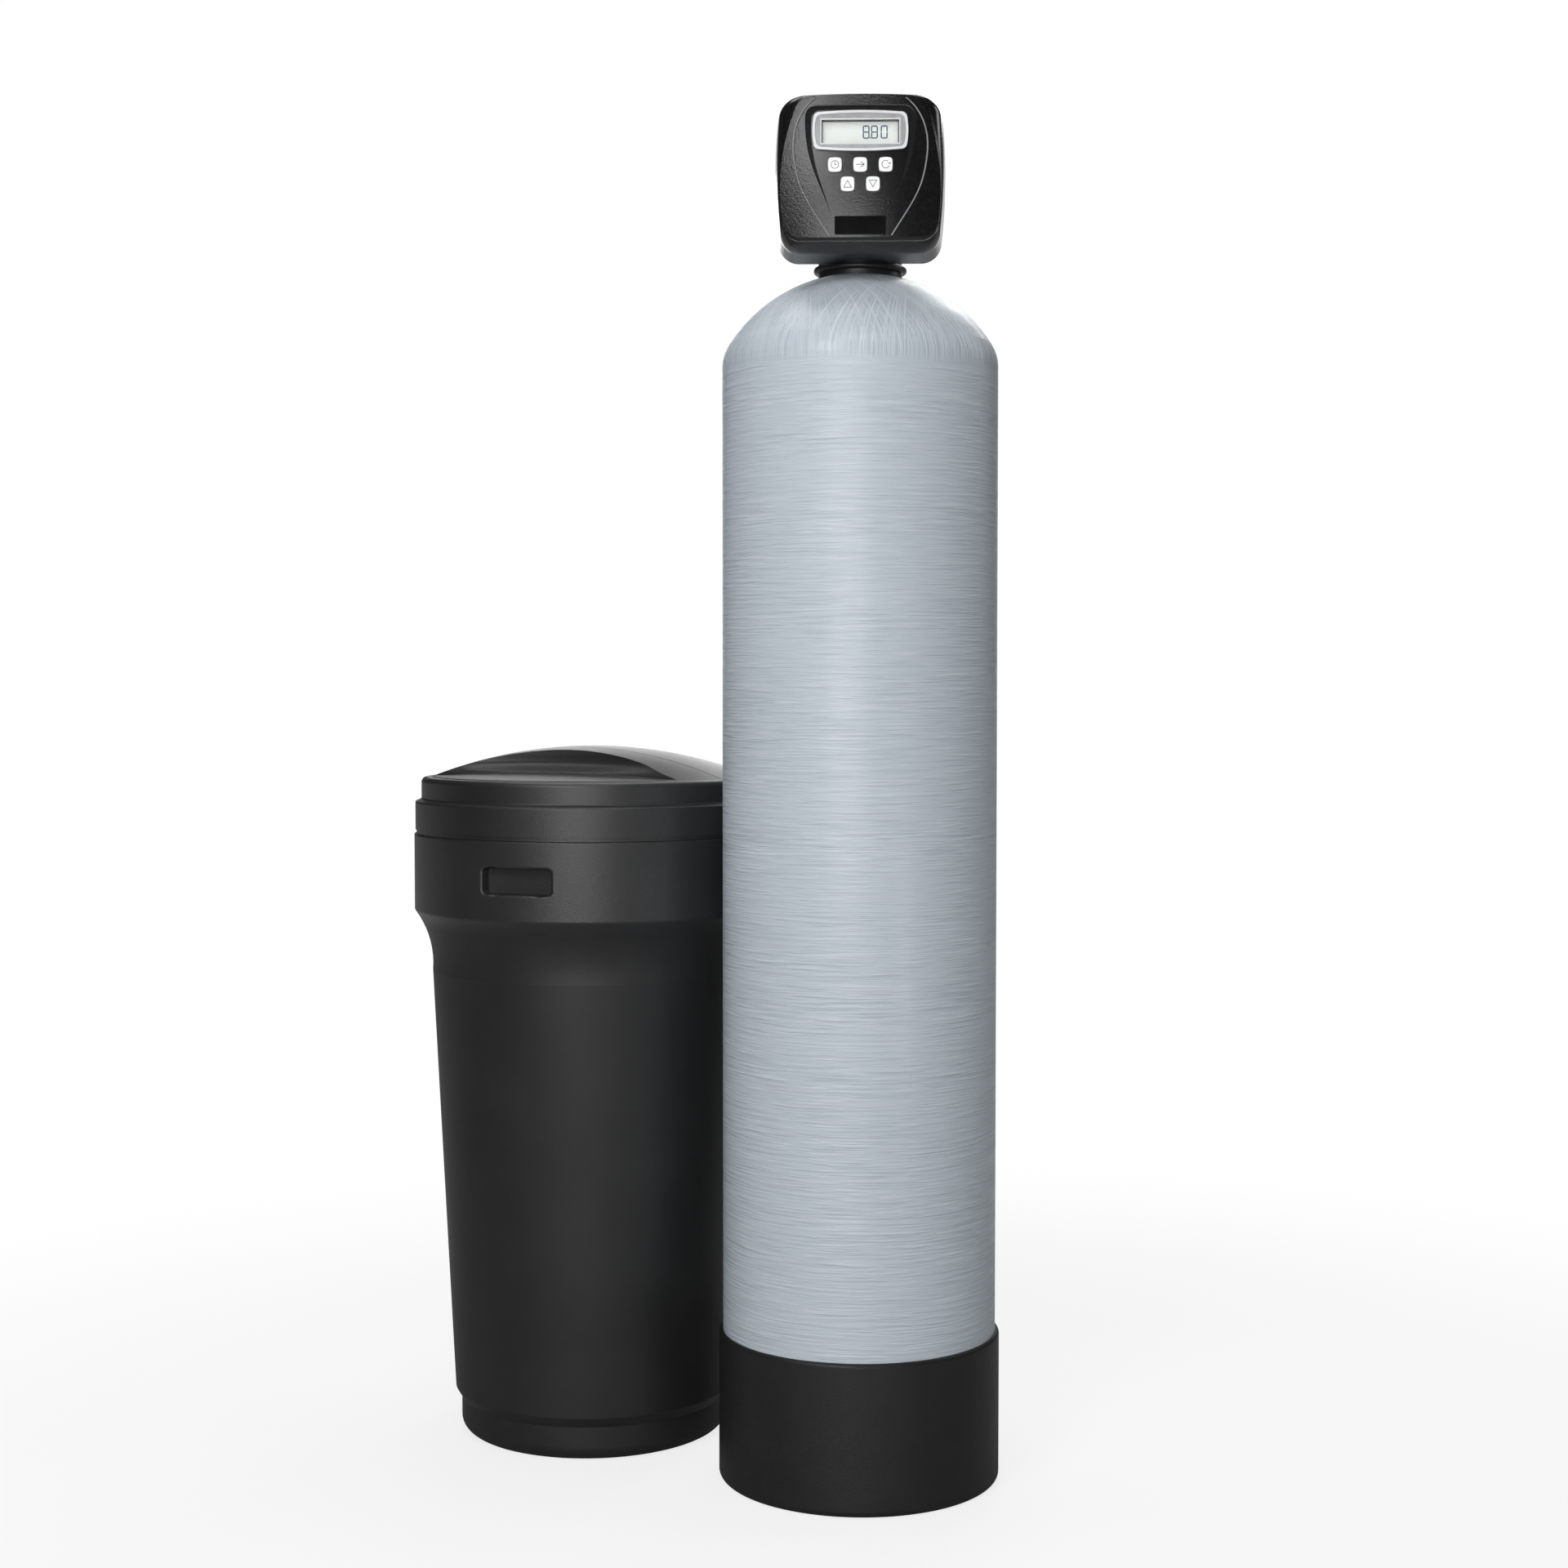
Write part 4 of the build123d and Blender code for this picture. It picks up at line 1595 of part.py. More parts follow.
def overflow_elbow():
    """The overflow elbow through the tank's wall, turned down outside."""
    face = boss_face(OVERFLOW_HEIGHT, OVERFLOW_BOSS_R)
    inner = face - OVERFLOW_BOSS - WASHER / 2 - OVERFLOW_NUT
    out = radial(TANK_AT, OVERFLOW_TURN, inner, OVERFLOW_HEIGHT)
    reach = face + WASHER + OVERFLOW_REACH - inner
    pipe = out * rod(OVERFLOW_R, reach)
    shoulder = radial(TANK_AT, OVERFLOW_TURN, face + WASHER, OVERFLOW_HEIGHT) * rod(OVERFLOW_NUT_R, WASHER)
    corner_at = away(TANK_AT, OVERFLOW_TURN, inner + reach)
    corner = Pos(*corner_at, OVERFLOW_HEIGHT) * Sphere(OVERFLOW_R)
    drop = OVERFLOW_COLLAR + OVERFLOW_TAIL
    down = Pos(*corner_at, OVERFLOW_HEIGHT - OVERFLOW_COLLAR) * rod(OVERFLOW_R, OVERFLOW_COLLAR)
    down += Pos(*corner_at, OVERFLOW_HEIGHT - drop) * rod(OVERFLOW_TAIL_R, OVERFLOW_TAIL)
    bore = OVERFLOW_R - OVERFLOW_WALL
    body = pipe + shoulder + corner + down
    body -= radial(TANK_AT, OVERFLOW_TURN, inner - OVERRUN, OVERFLOW_HEIGHT) * rod(bore, reach + OVERRUN)
    tail_bore = OVERFLOW_TAIL_R - OVERFLOW_WALL
    body -= Pos(*corner_at, OVERFLOW_HEIGHT - drop - OVERRUN) * rod(tail_bore, drop + OVERRUN)
    return body


def overflow_washer():
    """The rubber washer between the elbow and the tank's wall."""
    face = boss_face(OVERFLOW_HEIGHT, OVERFLOW_BOSS_R)
    washer = tube(WASHER_R, OVERFLOW_R + SEAT_GAP, WASHER)
    return radial(TANK_AT, OVERFLOW_TURN, face, OVERFLOW_HEIGHT) * washer


def overflow_nut():
    """The nut that holds the overflow elbow from inside."""
    start = boss_face(OVERFLOW_HEIGHT, OVERFLOW_BOSS_R) - OVERFLOW_BOSS - SEAT_GAP - OVERFLOW_NUT
    nut = extrude(RegularPolygon(OVERFLOW_NUT_R, 6), OVERFLOW_NUT)
    nut -= Pos(0, 0, -OVERRUN) * rod(OVERFLOW_R + SEAT_GAP, OVERFLOW_NUT + 2 * OVERRUN)
    return radial(TANK_AT, OVERFLOW_TURN, start, OVERFLOW_HEIGHT) * nut


def line_grommet():
    """The grommet in the tank's wall that the brine line passes through."""
    face = boss_face(LINE_HEIGHT, LINE_BOSS_R)
    bead = LINE_GROMMET_R + WASHER / 2
    neck = LINE_GROMMET_R - WASHER / 2 - RUNNING_GAP
    start = face - OVERFLOW_BOSS - WASHER
    body = rod(bead, WASHER) + Pos(0, 0, WASHER) * rod(neck, OVERFLOW_BOSS)
    body += Pos(0, 0, WASHER + OVERFLOW_BOSS) * rod(bead, WASHER)
    body -= Pos(0, 0, -OVERRUN) * rod(LINE_R + RUNNING_GAP, OVERFLOW_BOSS + 2 * WASHER + 2 * OVERRUN)
    return radial(TANK_AT, LINE_TURN, start, LINE_HEIGHT) * body


# Every piece under its node name
PIECES = {
    "tank_base": tank_base,
    "vessel_winding": vessel_winding,
    "vessel_liner": vessel_liner,
    "riser_tube": riser_tube,
    "lower_distributor": lower_distributor,
    "upper_distributor": upper_distributor,
    "gravel_bed": gravel_bed,
    "resin_bed": resin_bed,
    "valve_body": valve_body,
    "neck_o_ring": neck_o_ring,
    "riser_o_ring": riser_o_ring,
    "drive_plate": drive_plate,
    "drive_cap": drive_cap,
    "spacer_stack": spacer_stack,
    "stack_seals": stack_seals,
    "piston": piston,
    "piston_rod": piston_rod,
    "main_gear": main_gear,
    "reduction_gear_two": reduction_gear_two,
    "reduction_gear_one": reduction_gear_one,
    "motor_pinion": motor_pinion,
    "motor": motor,
    "drive_gear_cover": drive_gear_cover,
    "plate_screws": plate_screws,
    "circuit_board": circuit_board,
    "display_module": display_module,
    "tact_switches": tact_switches,
    "front_cover": front_cover,
    "display_bezel": display_bezel,
    "display_window": display_window,
    "badge_plate": badge_plate,
    "injector_cap": injector_cap,
    "injector_nozzle": injector_nozzle,
    "meter_plug": meter_plug,
    "meter_turbine": meter_turbine,
    "inlet_fitting": lambda: port_fitting(1),
    "outlet_fitting": lambda: port_fitting(-1),
    "port_nuts": port_nuts,
    "drain_elbow": drain_elbow,
    "drain_clip": drain_clip,
    "brine_elbow": brine_elbow,
    "brine_elbow_nut": brine_elbow_nut,
    "brine_tank": brine_tank,
    "brine_lid": brine_lid,
    "brine_well": brine_well,
    "brine_well_cap": brine_well_cap,
    "safety_valve": safety_valve,
    "float": float_body,
    "float_rod": float_rod,
    "pickup_tube": pickup_tube,
    "air_check": air_check,
    "overflow_elbow": overflow_elbow,
    "overflow_washer": overflow_washer,
    "overflow_nut": overflow_nut,
    "line_grommet": line_grommet,
}


def save(name, shape):
    """Write one piece, or a group of separate pieces, under its node name."""
    solids = [solid for item in (shape if isinstance(shape, list) else [shape]) for solid in item.solids()]
    export_step(Compound(children=solids, label=name), "parts/" + name + ".step")


os.makedirs("parts", exist_ok=True)
for node, make in PIECES.items():
    save(node, make())
for node in BUTTON_AT:
    save(node, button(node))
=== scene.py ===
# %% [markdown]
# # A water softener, dressed for a studio picture
# The real object is a fibreglass pressure vessel with a control valve screwed into its neck, and a round
# brine tank beside it. Its solids come ready from the CAD model, each in its right place, so this lesson
# is about what Blender adds: the surfaces, the small marks on the valve, the light and the camera.
# Lengths are in metres here, and +Z is up.

# %% Load the CAD model as a fixed frame
import json
import math

import bpy
from mathutils import Matrix, Vector


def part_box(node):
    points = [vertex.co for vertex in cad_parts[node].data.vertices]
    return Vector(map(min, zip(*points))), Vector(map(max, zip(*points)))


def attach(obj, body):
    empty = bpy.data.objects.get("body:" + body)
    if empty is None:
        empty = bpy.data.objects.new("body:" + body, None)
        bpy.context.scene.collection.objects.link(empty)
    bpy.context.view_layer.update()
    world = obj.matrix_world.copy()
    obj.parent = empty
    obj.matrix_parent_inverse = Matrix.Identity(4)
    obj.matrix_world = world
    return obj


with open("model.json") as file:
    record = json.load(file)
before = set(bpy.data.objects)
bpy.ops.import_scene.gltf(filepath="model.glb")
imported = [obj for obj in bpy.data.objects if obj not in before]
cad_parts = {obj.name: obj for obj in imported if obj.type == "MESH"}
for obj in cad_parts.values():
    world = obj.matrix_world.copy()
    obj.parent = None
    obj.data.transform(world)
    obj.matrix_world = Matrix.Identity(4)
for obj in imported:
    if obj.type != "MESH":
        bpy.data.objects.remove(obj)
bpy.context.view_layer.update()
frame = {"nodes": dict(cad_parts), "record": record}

nodes = frame["nodes"]
print(len(nodes), "CAD pieces")

# %% [markdown]
# ## A small language for materials
# A material in Blender is a graph of nodes. Drawing it by hand is clear on a screen and long in a script.
# So one class holds an output socket and lets Python's own operators do sums with it: `height * 400 + 2`
# adds the Math nodes. Everything that isn't a sum goes through one method, `node`.

# %% The class that does shader sums
class Wire:
    """One output socket of a material, with Python's operators for sums."""

    def __init__(self, tree, socket):
        self.tree = tree
        self.socket = socket

    def node(self, kind, settings=None, sockets=None, out=0):
        """Add any node: its settings first, then the values or links of its sockets."""
        made = self.tree.nodes.new("ShaderNode" + kind)
        for name, value in (settings or {}).items():
            setattr(made, name, value)
        for name, value in (sockets or {}).items():
            if isinstance(value, Wire):
                self.tree.links.new(value.socket, made.inputs[name])
            else:
                made.inputs[name].default_value = value
        return Wire(self.tree, made.outputs[out])

    def sum(self, operation, first, second=0.0):
        """A Math node. A root, a sine and the like read only the first number."""
        return self.node("Math", {"operation": operation}, {0: first, 1: second})

    def __add__(self, other):
        return self.sum("ADD", self, other)

    def __sub__(self, other):
        return self.sum("SUBTRACT", self, other)

    def __rsub__(self, other):
        return self.sum("SUBTRACT", other, self)

    def __mul__(self, other):
        return self.sum("MULTIPLY", self, other)

    def __rtruediv__(self, other):
        return self.sum("DIVIDE", other, self)

    __radd__ = __add__
    __rmul__ = __mul__

    def size(self):
        return self.sum("ABSOLUTE", self)

    def root(self):
        return self.sum("SQRT", self)

    def larger(self, other):
        return self.sum("MAXIMUM", self, other)

    def axes(self):
        """The three numbers of a vector, each on its own wire."""
        first = self.node("SeparateXYZ", sockets={0: self})
        return [Wire(self.tree, socket) for socket in first.socket.node.outputs]

    def clamp(self, low, high):
        """0 below low, 1 above high and a smooth rise between."""
        return self.node("MapRange", {"interpolation_type": "SMOOTHSTEP"},
                         {"Value": self, "From Min": low, "From Max": high})

    def mix(self, colour_a, colour_b):
        """The first colour where this value is 0, the second where it is 1."""
        colours = [c if isinstance(c, Wire) else (*c, 1) for c in (colour_a, colour_b)]
        return self.node("Mix", {"data_type": "RGBA"}, {0: self, 6: colours[0], 7: colours[1]}, out=2)

    def noise(self, vector, scale=1.0, detail=2.0, roughness=0.5):
        return self.node("TexNoise", sockets={"Vector": vector, "Scale": scale, "Detail": detail,
                                              "Roughness": roughness})


# %% [markdown]
# ## Starting a material
# Every surface here is one Principled shader. What is the same all over it, such as its coat or its
# index of refraction, is set straight on the shader. What varies, such as grain, is wired in. Object
# coordinates are used throughout, because every piece sits at the origin with its place in its mesh, so
# they are the same metres as the CAD model's.

# %% A surface with its coordinates
class Surface:
    """A Principled material, its object coordinates, and the places its patterns plug into."""

    def __init__(self, name, **settings):
        self.material = bpy.data.materials.new(name)
        self.material.use_nodes = True
        self.tree = self.material.node_tree
        self.shader = self.tree.nodes["Principled BSDF"]
        for socket, value in settings.items():
            self.shader.inputs[socket.replace("_", " ")].default_value = value
        self.place = Wire(self.tree, None).node("TexCoord", out="Object")
        self.x, self.y, self.z = self.place.axes()

    def vector(self, x, y, z):
        return self.place.node("CombineXYZ", sockets={"X": x, "Y": y, "Z": z})

    def grain(self, size, detail=2.0):
        """A noise whose lumps are about this many metres across."""
        return self.place.noise(self.place, scale=1 / size, detail=detail)

    def feed(self, socket, wire):
        self.tree.links.new(wire.socket, self.shader.inputs[socket])

    def relief(self, height, depth, strength=1.0):
        """Bump the surface by a height, of which 1 is this many metres."""
        bump = self.place.node("Bump", sockets={"Height": height, "Distance": depth, "Strength": strength})
        self.feed("Normal", bump)
        return self


# %% [markdown]
# ## The wound vessel
# The vessel is glass fibre wound on a plastic liner. On the wall the last layer runs round in hoops, so
# it shows thin level streaks. On the dome the strands run past the neck in straight lines seen from
# above, and cross. Noise stretched round the wall gives the hoops: its height counts about twenty times
# as much as its x and y. On the dome the pattern reads the strand's own number, which is the angle of the
# point plus or minus the angle to the strand's nearest pass of the neck.

# %% Wound fibreglass
GEL_COLOUR = (0.50, 0.555, 0.605)
GEL_DARK = (0.36, 0.41, 0.46)
GEL_PALE = (0.66, 0.71, 0.75)
STRAND_PALE = (0.84, 0.87, 0.89)
SHOULDER_HEIGHT = 1.235
NECK_PASS = 0.052
HOOP_DRIFT = 0.006
FINE_ROUND, FINE_UP = 15, 330
BROAD_ROUND, BROAD_UP = 5, 95
STRAND_COUNT = 48
STRAND_BREAKS = 7
FIBRE_DEPTH = 0.0024


def wound_fibreglass():
    gel = Surface("wound_fibreglass", IOR=1.5, Specular_IOR_Level=0.35, Coat_Weight=0.22, Coat_Roughness=0.2)
    x, y, z = gel.x, gel.y, gel.z
    drift = gel.place.noise(gel.vector(x * 3, y * 3, z * 7), detail=1.0)
    level = z + drift * HOOP_DRIFT
    fine = gel.place.noise(gel.vector(x * FINE_ROUND, y * FINE_ROUND, level * FINE_UP), roughness=0.65)
    broad = gel.place.noise(gel.vector(x * BROAD_ROUND, y * BROAD_ROUND, level * BROAD_UP), detail=1.0)
    radius = (x * x + y * y).root()
    angle = gel.place.sum("ARCTAN2", y, x)
    swing = gel.place.sum("ARCCOSINE", gel.place.sum("MINIMUM", NECK_PASS / radius, 1.0))
    strands = []
    for way in (1, -1):
        number = angle + swing * way
        across, along = (gel.place.sum(wave, number) * STRAND_COUNT for wave in ("SINE", "COSINE"))
        run = radius * STRAND_BREAKS + way * 2
        strands.append(gel.place.noise(gel.vector(across, along, run), roughness=0.65))
    crossed = strands[0].larger(strands[1]) - 0.06
    on_dome = z.clamp(SHOULDER_HEIGHT - 0.014, SHOULDER_HEIGHT + 0.002)
    lines = fine * (1 - on_dome) + crossed * on_dome
    groove = lines.clamp(0.36, 0.50).mix(GEL_DARK, GEL_COLOUR)
    base = lines.clamp(0.56, 0.68).mix(groove, on_dome.mix(GEL_PALE, STRAND_PALE))
    tone = gel.place.noise(gel.vector(x * 2.5, y * 2.5, z * 24))
    calm = (tone.clamp(0.3, 0.7) * 0.35 + 0.55) * (1 - on_dome * 0.45)
    gel.feed("Base Color", calm.mix(base, GEL_COLOUR))
    gel.feed("Roughness", broad.clamp(0.3, 0.7) * 0.18 + 0.36)
    return gel.relief(lines * 0.7 + broad * 0.3, FIBRE_DEPTH).material


# %% [markdown]
# ## Black plastics
# Four black finishes tell the pieces apart. The brine tank is blow-moulded, with a smooth satin wall, and
# its band and lid have fine pits and a soft sheen. The vessel's foot is rubber. The valve's cover is
# grained on its face and glossy on its cheeks, and what lies behind it is plain glass-filled moulding.
# The cover's face is very slightly domed, which shows only in what it mirrors, so a fall of the bump's
# height away from the middle gives it.

# %% Moulded black polyethylene of the brine tank
POLY_COLOUR = (0.0125, 0.0125, 0.0132)
POLY_WORN = (0.0165, 0.0165, 0.0175)
BAND_HEIGHT = 0.622
BAND_SHEEN = 0.4


def satin_polyethylene():
    poly = Surface("satin_polyethylene", IOR=1.5, Specular_IOR_Level=0.4, Coat_Roughness=0.42)
    pits = poly.grain(0.0016)
    haze = poly.grain(0.09, 3.0)
    grained = poly.z.clamp(BAND_HEIGHT - 0.02, BAND_HEIGHT)
    poly.feed("Base Color", haze.clamp(0.3, 0.75).mix(POLY_COLOUR, POLY_WORN))
    poly.feed("Roughness", haze * 0.08 + grained * -0.07 + 0.46)
    poly.feed("Coat Weight", grained * BAND_SHEEN)
    height = pits * (grained * 0.75 + 0.25)
    return poly.relief(height, 0.0005, 0.5).material


# %% Rubber of the vessel's foot
RUBBER_COLOUR = (0.0115, 0.0115, 0.0112)
RUBBER_WORN = (0.0145, 0.0145, 0.0142)


def foot_rubber():
    rubber = Surface("foot_rubber", IOR=1.5, Specular_IOR_Level=0.35)
    grain = rubber.grain(0.0012)
    haze = rubber.grain(0.05, 3.0)
    rubber.feed("Base Color", haze.clamp(0.3, 0.8).mix(RUBBER_COLOUR, RUBBER_WORN))
    rubber.feed("Roughness", haze * 0.12 + 0.42)
    return rubber.relief(grain, 0.0004, 0.35).material


# %% Cover moulding: spark-grained face, glossy cheeks, and a painted highlight on the rib crests
COVER_FACE = -0.1165
RIB_CREST = -0.1183
COVER_MIDDLE = 1.43
COVER_DARK = (0.004, 0.004, 0.0045)
COVER_PALE = (0.009, 0.009, 0.0096)
# The rib crests get a painted highlight, brighter on the right side where the light catches them.
RIB_HIGHLIGHT_LEFT = (0.12, 0.12, 0.125)
RIB_HIGHLIGHT_RIGHT = (0.30, 0.30, 0.31)
GRAIN_DEPTH = 0.00022
COARSE_DEPTH = 0.00018
CROWN_ACROSS = 2.2
CROWN_UP = 0.8


def cover_moulding():
    cover = Surface("cover_moulding", IOR=1.5, Specular_IOR_Level=0.5, Coat_Weight=0.22, Coat_Roughness=0.14)
    grain = cover.grain(0.0015, 3.0)
    coarse = cover.grain(0.0026)
    face = 1 - cover.y.clamp(COVER_FACE, COVER_FACE + 0.0012)
    rib = 1 - cover.y.clamp(RIB_CREST - 0.0003, RIB_CREST)
    base = coarse.clamp(0.35, 0.75).mix(COVER_DARK, COVER_PALE)
    # A pale grey painted highlight on the rib crests, brighter towards the right.
    rib_highlight = cover.x.clamp(-0.02, 0.02).mix(RIB_HIGHLIGHT_LEFT, RIB_HIGHLIGHT_RIGHT)
    cover.feed("Base Color", rib.mix(base, rib_highlight))
    cover.feed("Roughness", face * 0.06 + 0.17 + coarse * 0.06)
    up = cover.z - COVER_MIDDLE
    crown = cover.x * cover.x * CROWN_ACROSS + up * up * CROWN_UP
    height = grain * GRAIN_DEPTH + coarse * COARSE_DEPTH - crown
    return cover.relief(height * face, 1.0).material


# %% Plain black glass-filled moulding
FILLED_DARK = (0.007, 0.007, 0.0075)
FILLED_PALE = (0.015, 0.015, 0.016)


def filled_moulding():
    filled = Surface("filled_moulding", IOR=1.5)
    flecks = filled.grain(0.0009)
    haze = filled.grain(0.02)
    filled.feed("Base Color", haze.mix(FILLED_DARK, FILLED_PALE))
    filled.feed("Roughness", flecks * 0.2 + 0.3)
    return filled.relief(flecks, 0.0003, 0.3).material


# %% [markdown]
# ## Pale, clear and metal pieces
# The rest of the pieces share a few moulded plastics that differ in colour and grain, so one function
# makes them all. The window is real glass to the shader, and the metals get a brushed noise.

# %% One maker for the plain mouldings
HAZE_SPREAD = 18


def moulded(name, dark, pale, grain_size, rough, depth=0.0003, **settings):
    piece = Surface(name, IOR=1.48, **settings)
    grain = piece.grain(grain_size)
    haze = piece.grain(grain_size * HAZE_SPREAD)
    piece.feed("Base Color", haze.clamp(0.3, 0.7).mix(dark, pale))
    piece.feed("Roughness", grain * 0.12 + rough)
    return piece.relief(grain, depth, 0.3).material


# %% Metal with a brushed grain
def brushed(name, colour, rough, across):
    metal = Surface(name, Metallic=1.0)
    lines = metal.place.noise(metal.vector(metal.x * across[0], metal.y * across[1], metal.z * across[2]))
    darker = tuple(value * 0.82 for value in colour)
    metal.feed("Base Color", lines.clamp(0.3, 0.7).mix(darker, colour))
    metal.feed("Roughness", lines * 0.14 + rough)
    return metal.relief(lines, 0.0001, 0.25).material


# %% Loose grains of the two beds
def grains(name, dark, pale, size):
    bed = Surface(name, IOR=1.5)
    cells = bed.place.node("TexVoronoi", sockets={"Vector": bed.place, "Scale": 1 / size})
    bed.feed("Base Color", cells.clamp(0.0, 0.7).mix(pale, dark))
    bed.feed("Roughness", cells * 0.3 + 0.35)
    return bed.relief(1 - cells, size * 0.4, 0.8).material


# %% The display's silver frame, with a painted highlight on its rim and lip and painted shade down in its opening
WINDOW_HALF = 0.041
WINDOW_RISE = 0.01235
WINDOW_MIDDLE = 1.46955
FRAME_FRONT = -0.1202
FRAME_DARK = (0.36, 0.365, 0.375)
FRAME_PALE = (0.42, 0.425, 0.435)
# A pale grey painted highlight for the rim and the lip, standing in for the light they catch.
FRAME_HIGHLIGHT = (0.80, 0.80, 0.81)
# Near black painted shade for the walls down in the opening, where the frame shades itself.
FRAME_OPENING_SHADE = (0.02, 0.02, 0.022)


def beside_window(surface):
    """How far a point lies outside the window's rectangle, in metres."""
    across = surface.x.size() - WINDOW_HALF
    return across.larger((surface.z - WINDOW_MIDDLE).size() - WINDOW_RISE)


def silver_frame():
    silver = Surface("silver_paint", IOR=1.48, Metallic=0.55, Coat_Weight=0.4, Coat_Roughness=0.12)
    haze = silver.grain(0.01)
    # The front rim and the window's lip get the painted highlight.
    lip = 1 - beside_window(silver).clamp(0.0008, 0.0014)
    rim = 1 - silver.y.clamp(FRAME_FRONT + 0.0002, FRAME_FRONT + 0.0005)
    # Back from the front face, down the opening's walls, the paint turns to painted shade.
    opening_shade = silver.y.clamp(FRAME_FRONT + 0.0014, FRAME_FRONT + 0.0024)
    paint = haze.clamp(0.3, 0.7).mix(FRAME_DARK, FRAME_PALE)
    painted_highlight = lip.larger(rim).mix(paint, FRAME_HIGHLIGHT)
    silver.feed("Base Color", opening_shade.mix(painted_highlight, FRAME_OPENING_SHADE))
    silver.feed("Roughness", silver.grain(0.0006) * 0.12 + 0.26)
    return silver.material


# %% The display's liquid crystal glass, with a dark edge that is partly its own dark border and partly painted shade from the recess it sits in
CRYSTAL_DARK = (0.83, 0.845, 0.835)
CRYSTAL_PALE = (0.88, 0.89, 0.88)
CRYSTAL_BORDER_AND_SHADE = (0.02, 0.022, 0.022)
CRYSTAL_ROWS = 900


def crystal_glass():
    glass = Surface("crystal_glass", IOR=1.5, Coat_Weight=0.3, Coat_Roughness=0.05)
    haze = glass.grain(0.02)
    rows = glass.place.noise(glass.vector(glass.x * CRYSTAL_ROWS, glass.y, glass.z * CRYSTAL_ROWS),
                             detail=1.0)
    base = (haze * 0.7 + rows * 0.3).clamp(0.3, 0.7).mix(CRYSTAL_DARK, CRYSTAL_PALE)
    # The dark edge is partly the display's own dark border and partly painted shade cast by the frame round
    # it.
    edge = beside_window(glass).clamp(-0.0014, -0.0008)
    glass.feed("Base Color", edge.mix(base, CRYSTAL_BORDER_AND_SHADE))
    glass.feed("Roughness", rows * 0.05 + 0.28)
    return glass.relief(rows, 0.00005, 0.2).material


# %% The clear window
def clear_window():
    clear = Surface("clear_window", IOR=1.49, Transmission_Weight=1.0)
    clear.shader.inputs["Base Color"].default_value = (0.97, 0.985, 0.975, 1)
    smear = clear.grain(0.015)
    clear.feed("Roughness", smear * 0.03)
    return clear.material


# %% [markdown]
# ## Dressing the CAD pieces
# The record names a material slot for each piece. A slot's finish is made once, and each piece of that
# slot gets it in place of the flat colour it came with.

# %% A finish for every slot
finishes = {
    "winding": wound_fibreglass(),
    "liner": moulded("liner_polyethylene", (0.012, 0.012, 0.013), (0.02, 0.02, 0.021), 0.002, 0.42),
    "base_rubber": foot_rubber(),
    "white_plastic": moulded("white_moulding", (0.62, 0.63, 0.61), (0.72, 0.73, 0.71), 0.0012, 0.34),
    "gravel": grains("quartz_gravel", (0.20, 0.17, 0.13), (0.55, 0.50, 0.42), 0.004),
    "resin": grains("resin_beads", (0.30, 0.13, 0.02), (0.62, 0.34, 0.08), 0.0011),
    "valve_plastic": filled_moulding(),
    "grey_plastic": moulded("grey_moulding", (0.085, 0.088, 0.092), (0.13, 0.134, 0.14), 0.001, 0.36),
    "seal_rubber": moulded("seal_rubber", (0.008, 0.008, 0.008), (0.014, 0.014, 0.014), 0.0008, 0.45),
    "steel": brushed("zinc_steel", (0.58, 0.58, 0.57), 0.26, (60, 60, 900)),
    "cover_plastic": cover_moulding(),
    "bezel_silver": silver_frame(),
    "window_clear": clear_window(),
    "display": crystal_glass(),
    "badge": moulded("badge_black", (0.003, 0.003, 0.0035), (0.005, 0.005, 0.0055), 0.001, 0.08, 0.00002,
                     Specular_IOR_Level=0.25),
    "button_white": moulded("button_white", (0.90, 0.90, 0.90), (0.95, 0.95, 0.95), 0.0006, 0.30, 0.0001),
    "board_green": moulded("board_lacquer", (0.012, 0.07, 0.028), (0.02, 0.11, 0.045), 0.0009, 0.22),
    "gear_white": moulded("acetal", (0.66, 0.65, 0.60), (0.74, 0.73, 0.68), 0.0011, 0.30),
    "brine_plastic": satin_polyethylene(),
    "well_plastic": moulded("white_pvc", (0.60, 0.61, 0.62), (0.68, 0.69, 0.70), 0.0015, 0.32),
    "float_plastic": moulded("float_foam", (0.52, 0.53, 0.55), (0.60, 0.61, 0.63), 0.0018, 0.5, 0.0005),
}
for entry in frame["record"]["subparts"]:
    piece = nodes[entry["node"]]
    piece.data.materials.clear()
    piece.data.materials.append(finishes[entry["material_slot"]])
print(len(finishes), "finishes on", len(nodes), "pieces")

# %% [markdown]
# ## Modelling by hand, in a script
# New pieces are made with the same operators as in the window. Each operator works on whatever is
# selected, so a helper clears the selection first, and another bakes the object's place into its mesh.

# %% Helpers for hand modelling
def clear_selection():
    bpy.ops.object.select_all(action="DESELECT")


def settle(piece, name, finish, body):
    """Name a piece, put its place in its mesh, give it its finish and let it ride on a body."""
    clear_selection()
    piece.select_set(True)
    bpy.context.view_layer.objects.active = piece
    bpy.ops.object.transform_apply(location=True, rotation=True, scale=True)
    piece.name = name
    piece.data.name = name
    piece.data.materials.clear()
    piece.data.materials.append(finish)
    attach(piece, body)


def copy_at(piece, offset, turn=0.0):
    """A copy of a flat mark with its own mesh, turned in its plane and moved."""
    twin = piece.copy()
    twin.data = piece.data.copy()
    bpy.context.scene.collection.objects.link(twin)
    twin.matrix_world = Matrix.Translation(offset) @ Matrix.Rotation(turn, 4, "Y") @ piece.matrix_world
    return twin


def join(pieces):
    clear_selection()
    for piece in pieces:
        piece.select_set(True)
    bpy.context.view_layer.objects.active = pieces[0]
    bpy.ops.object.join()
    return pieces[0]


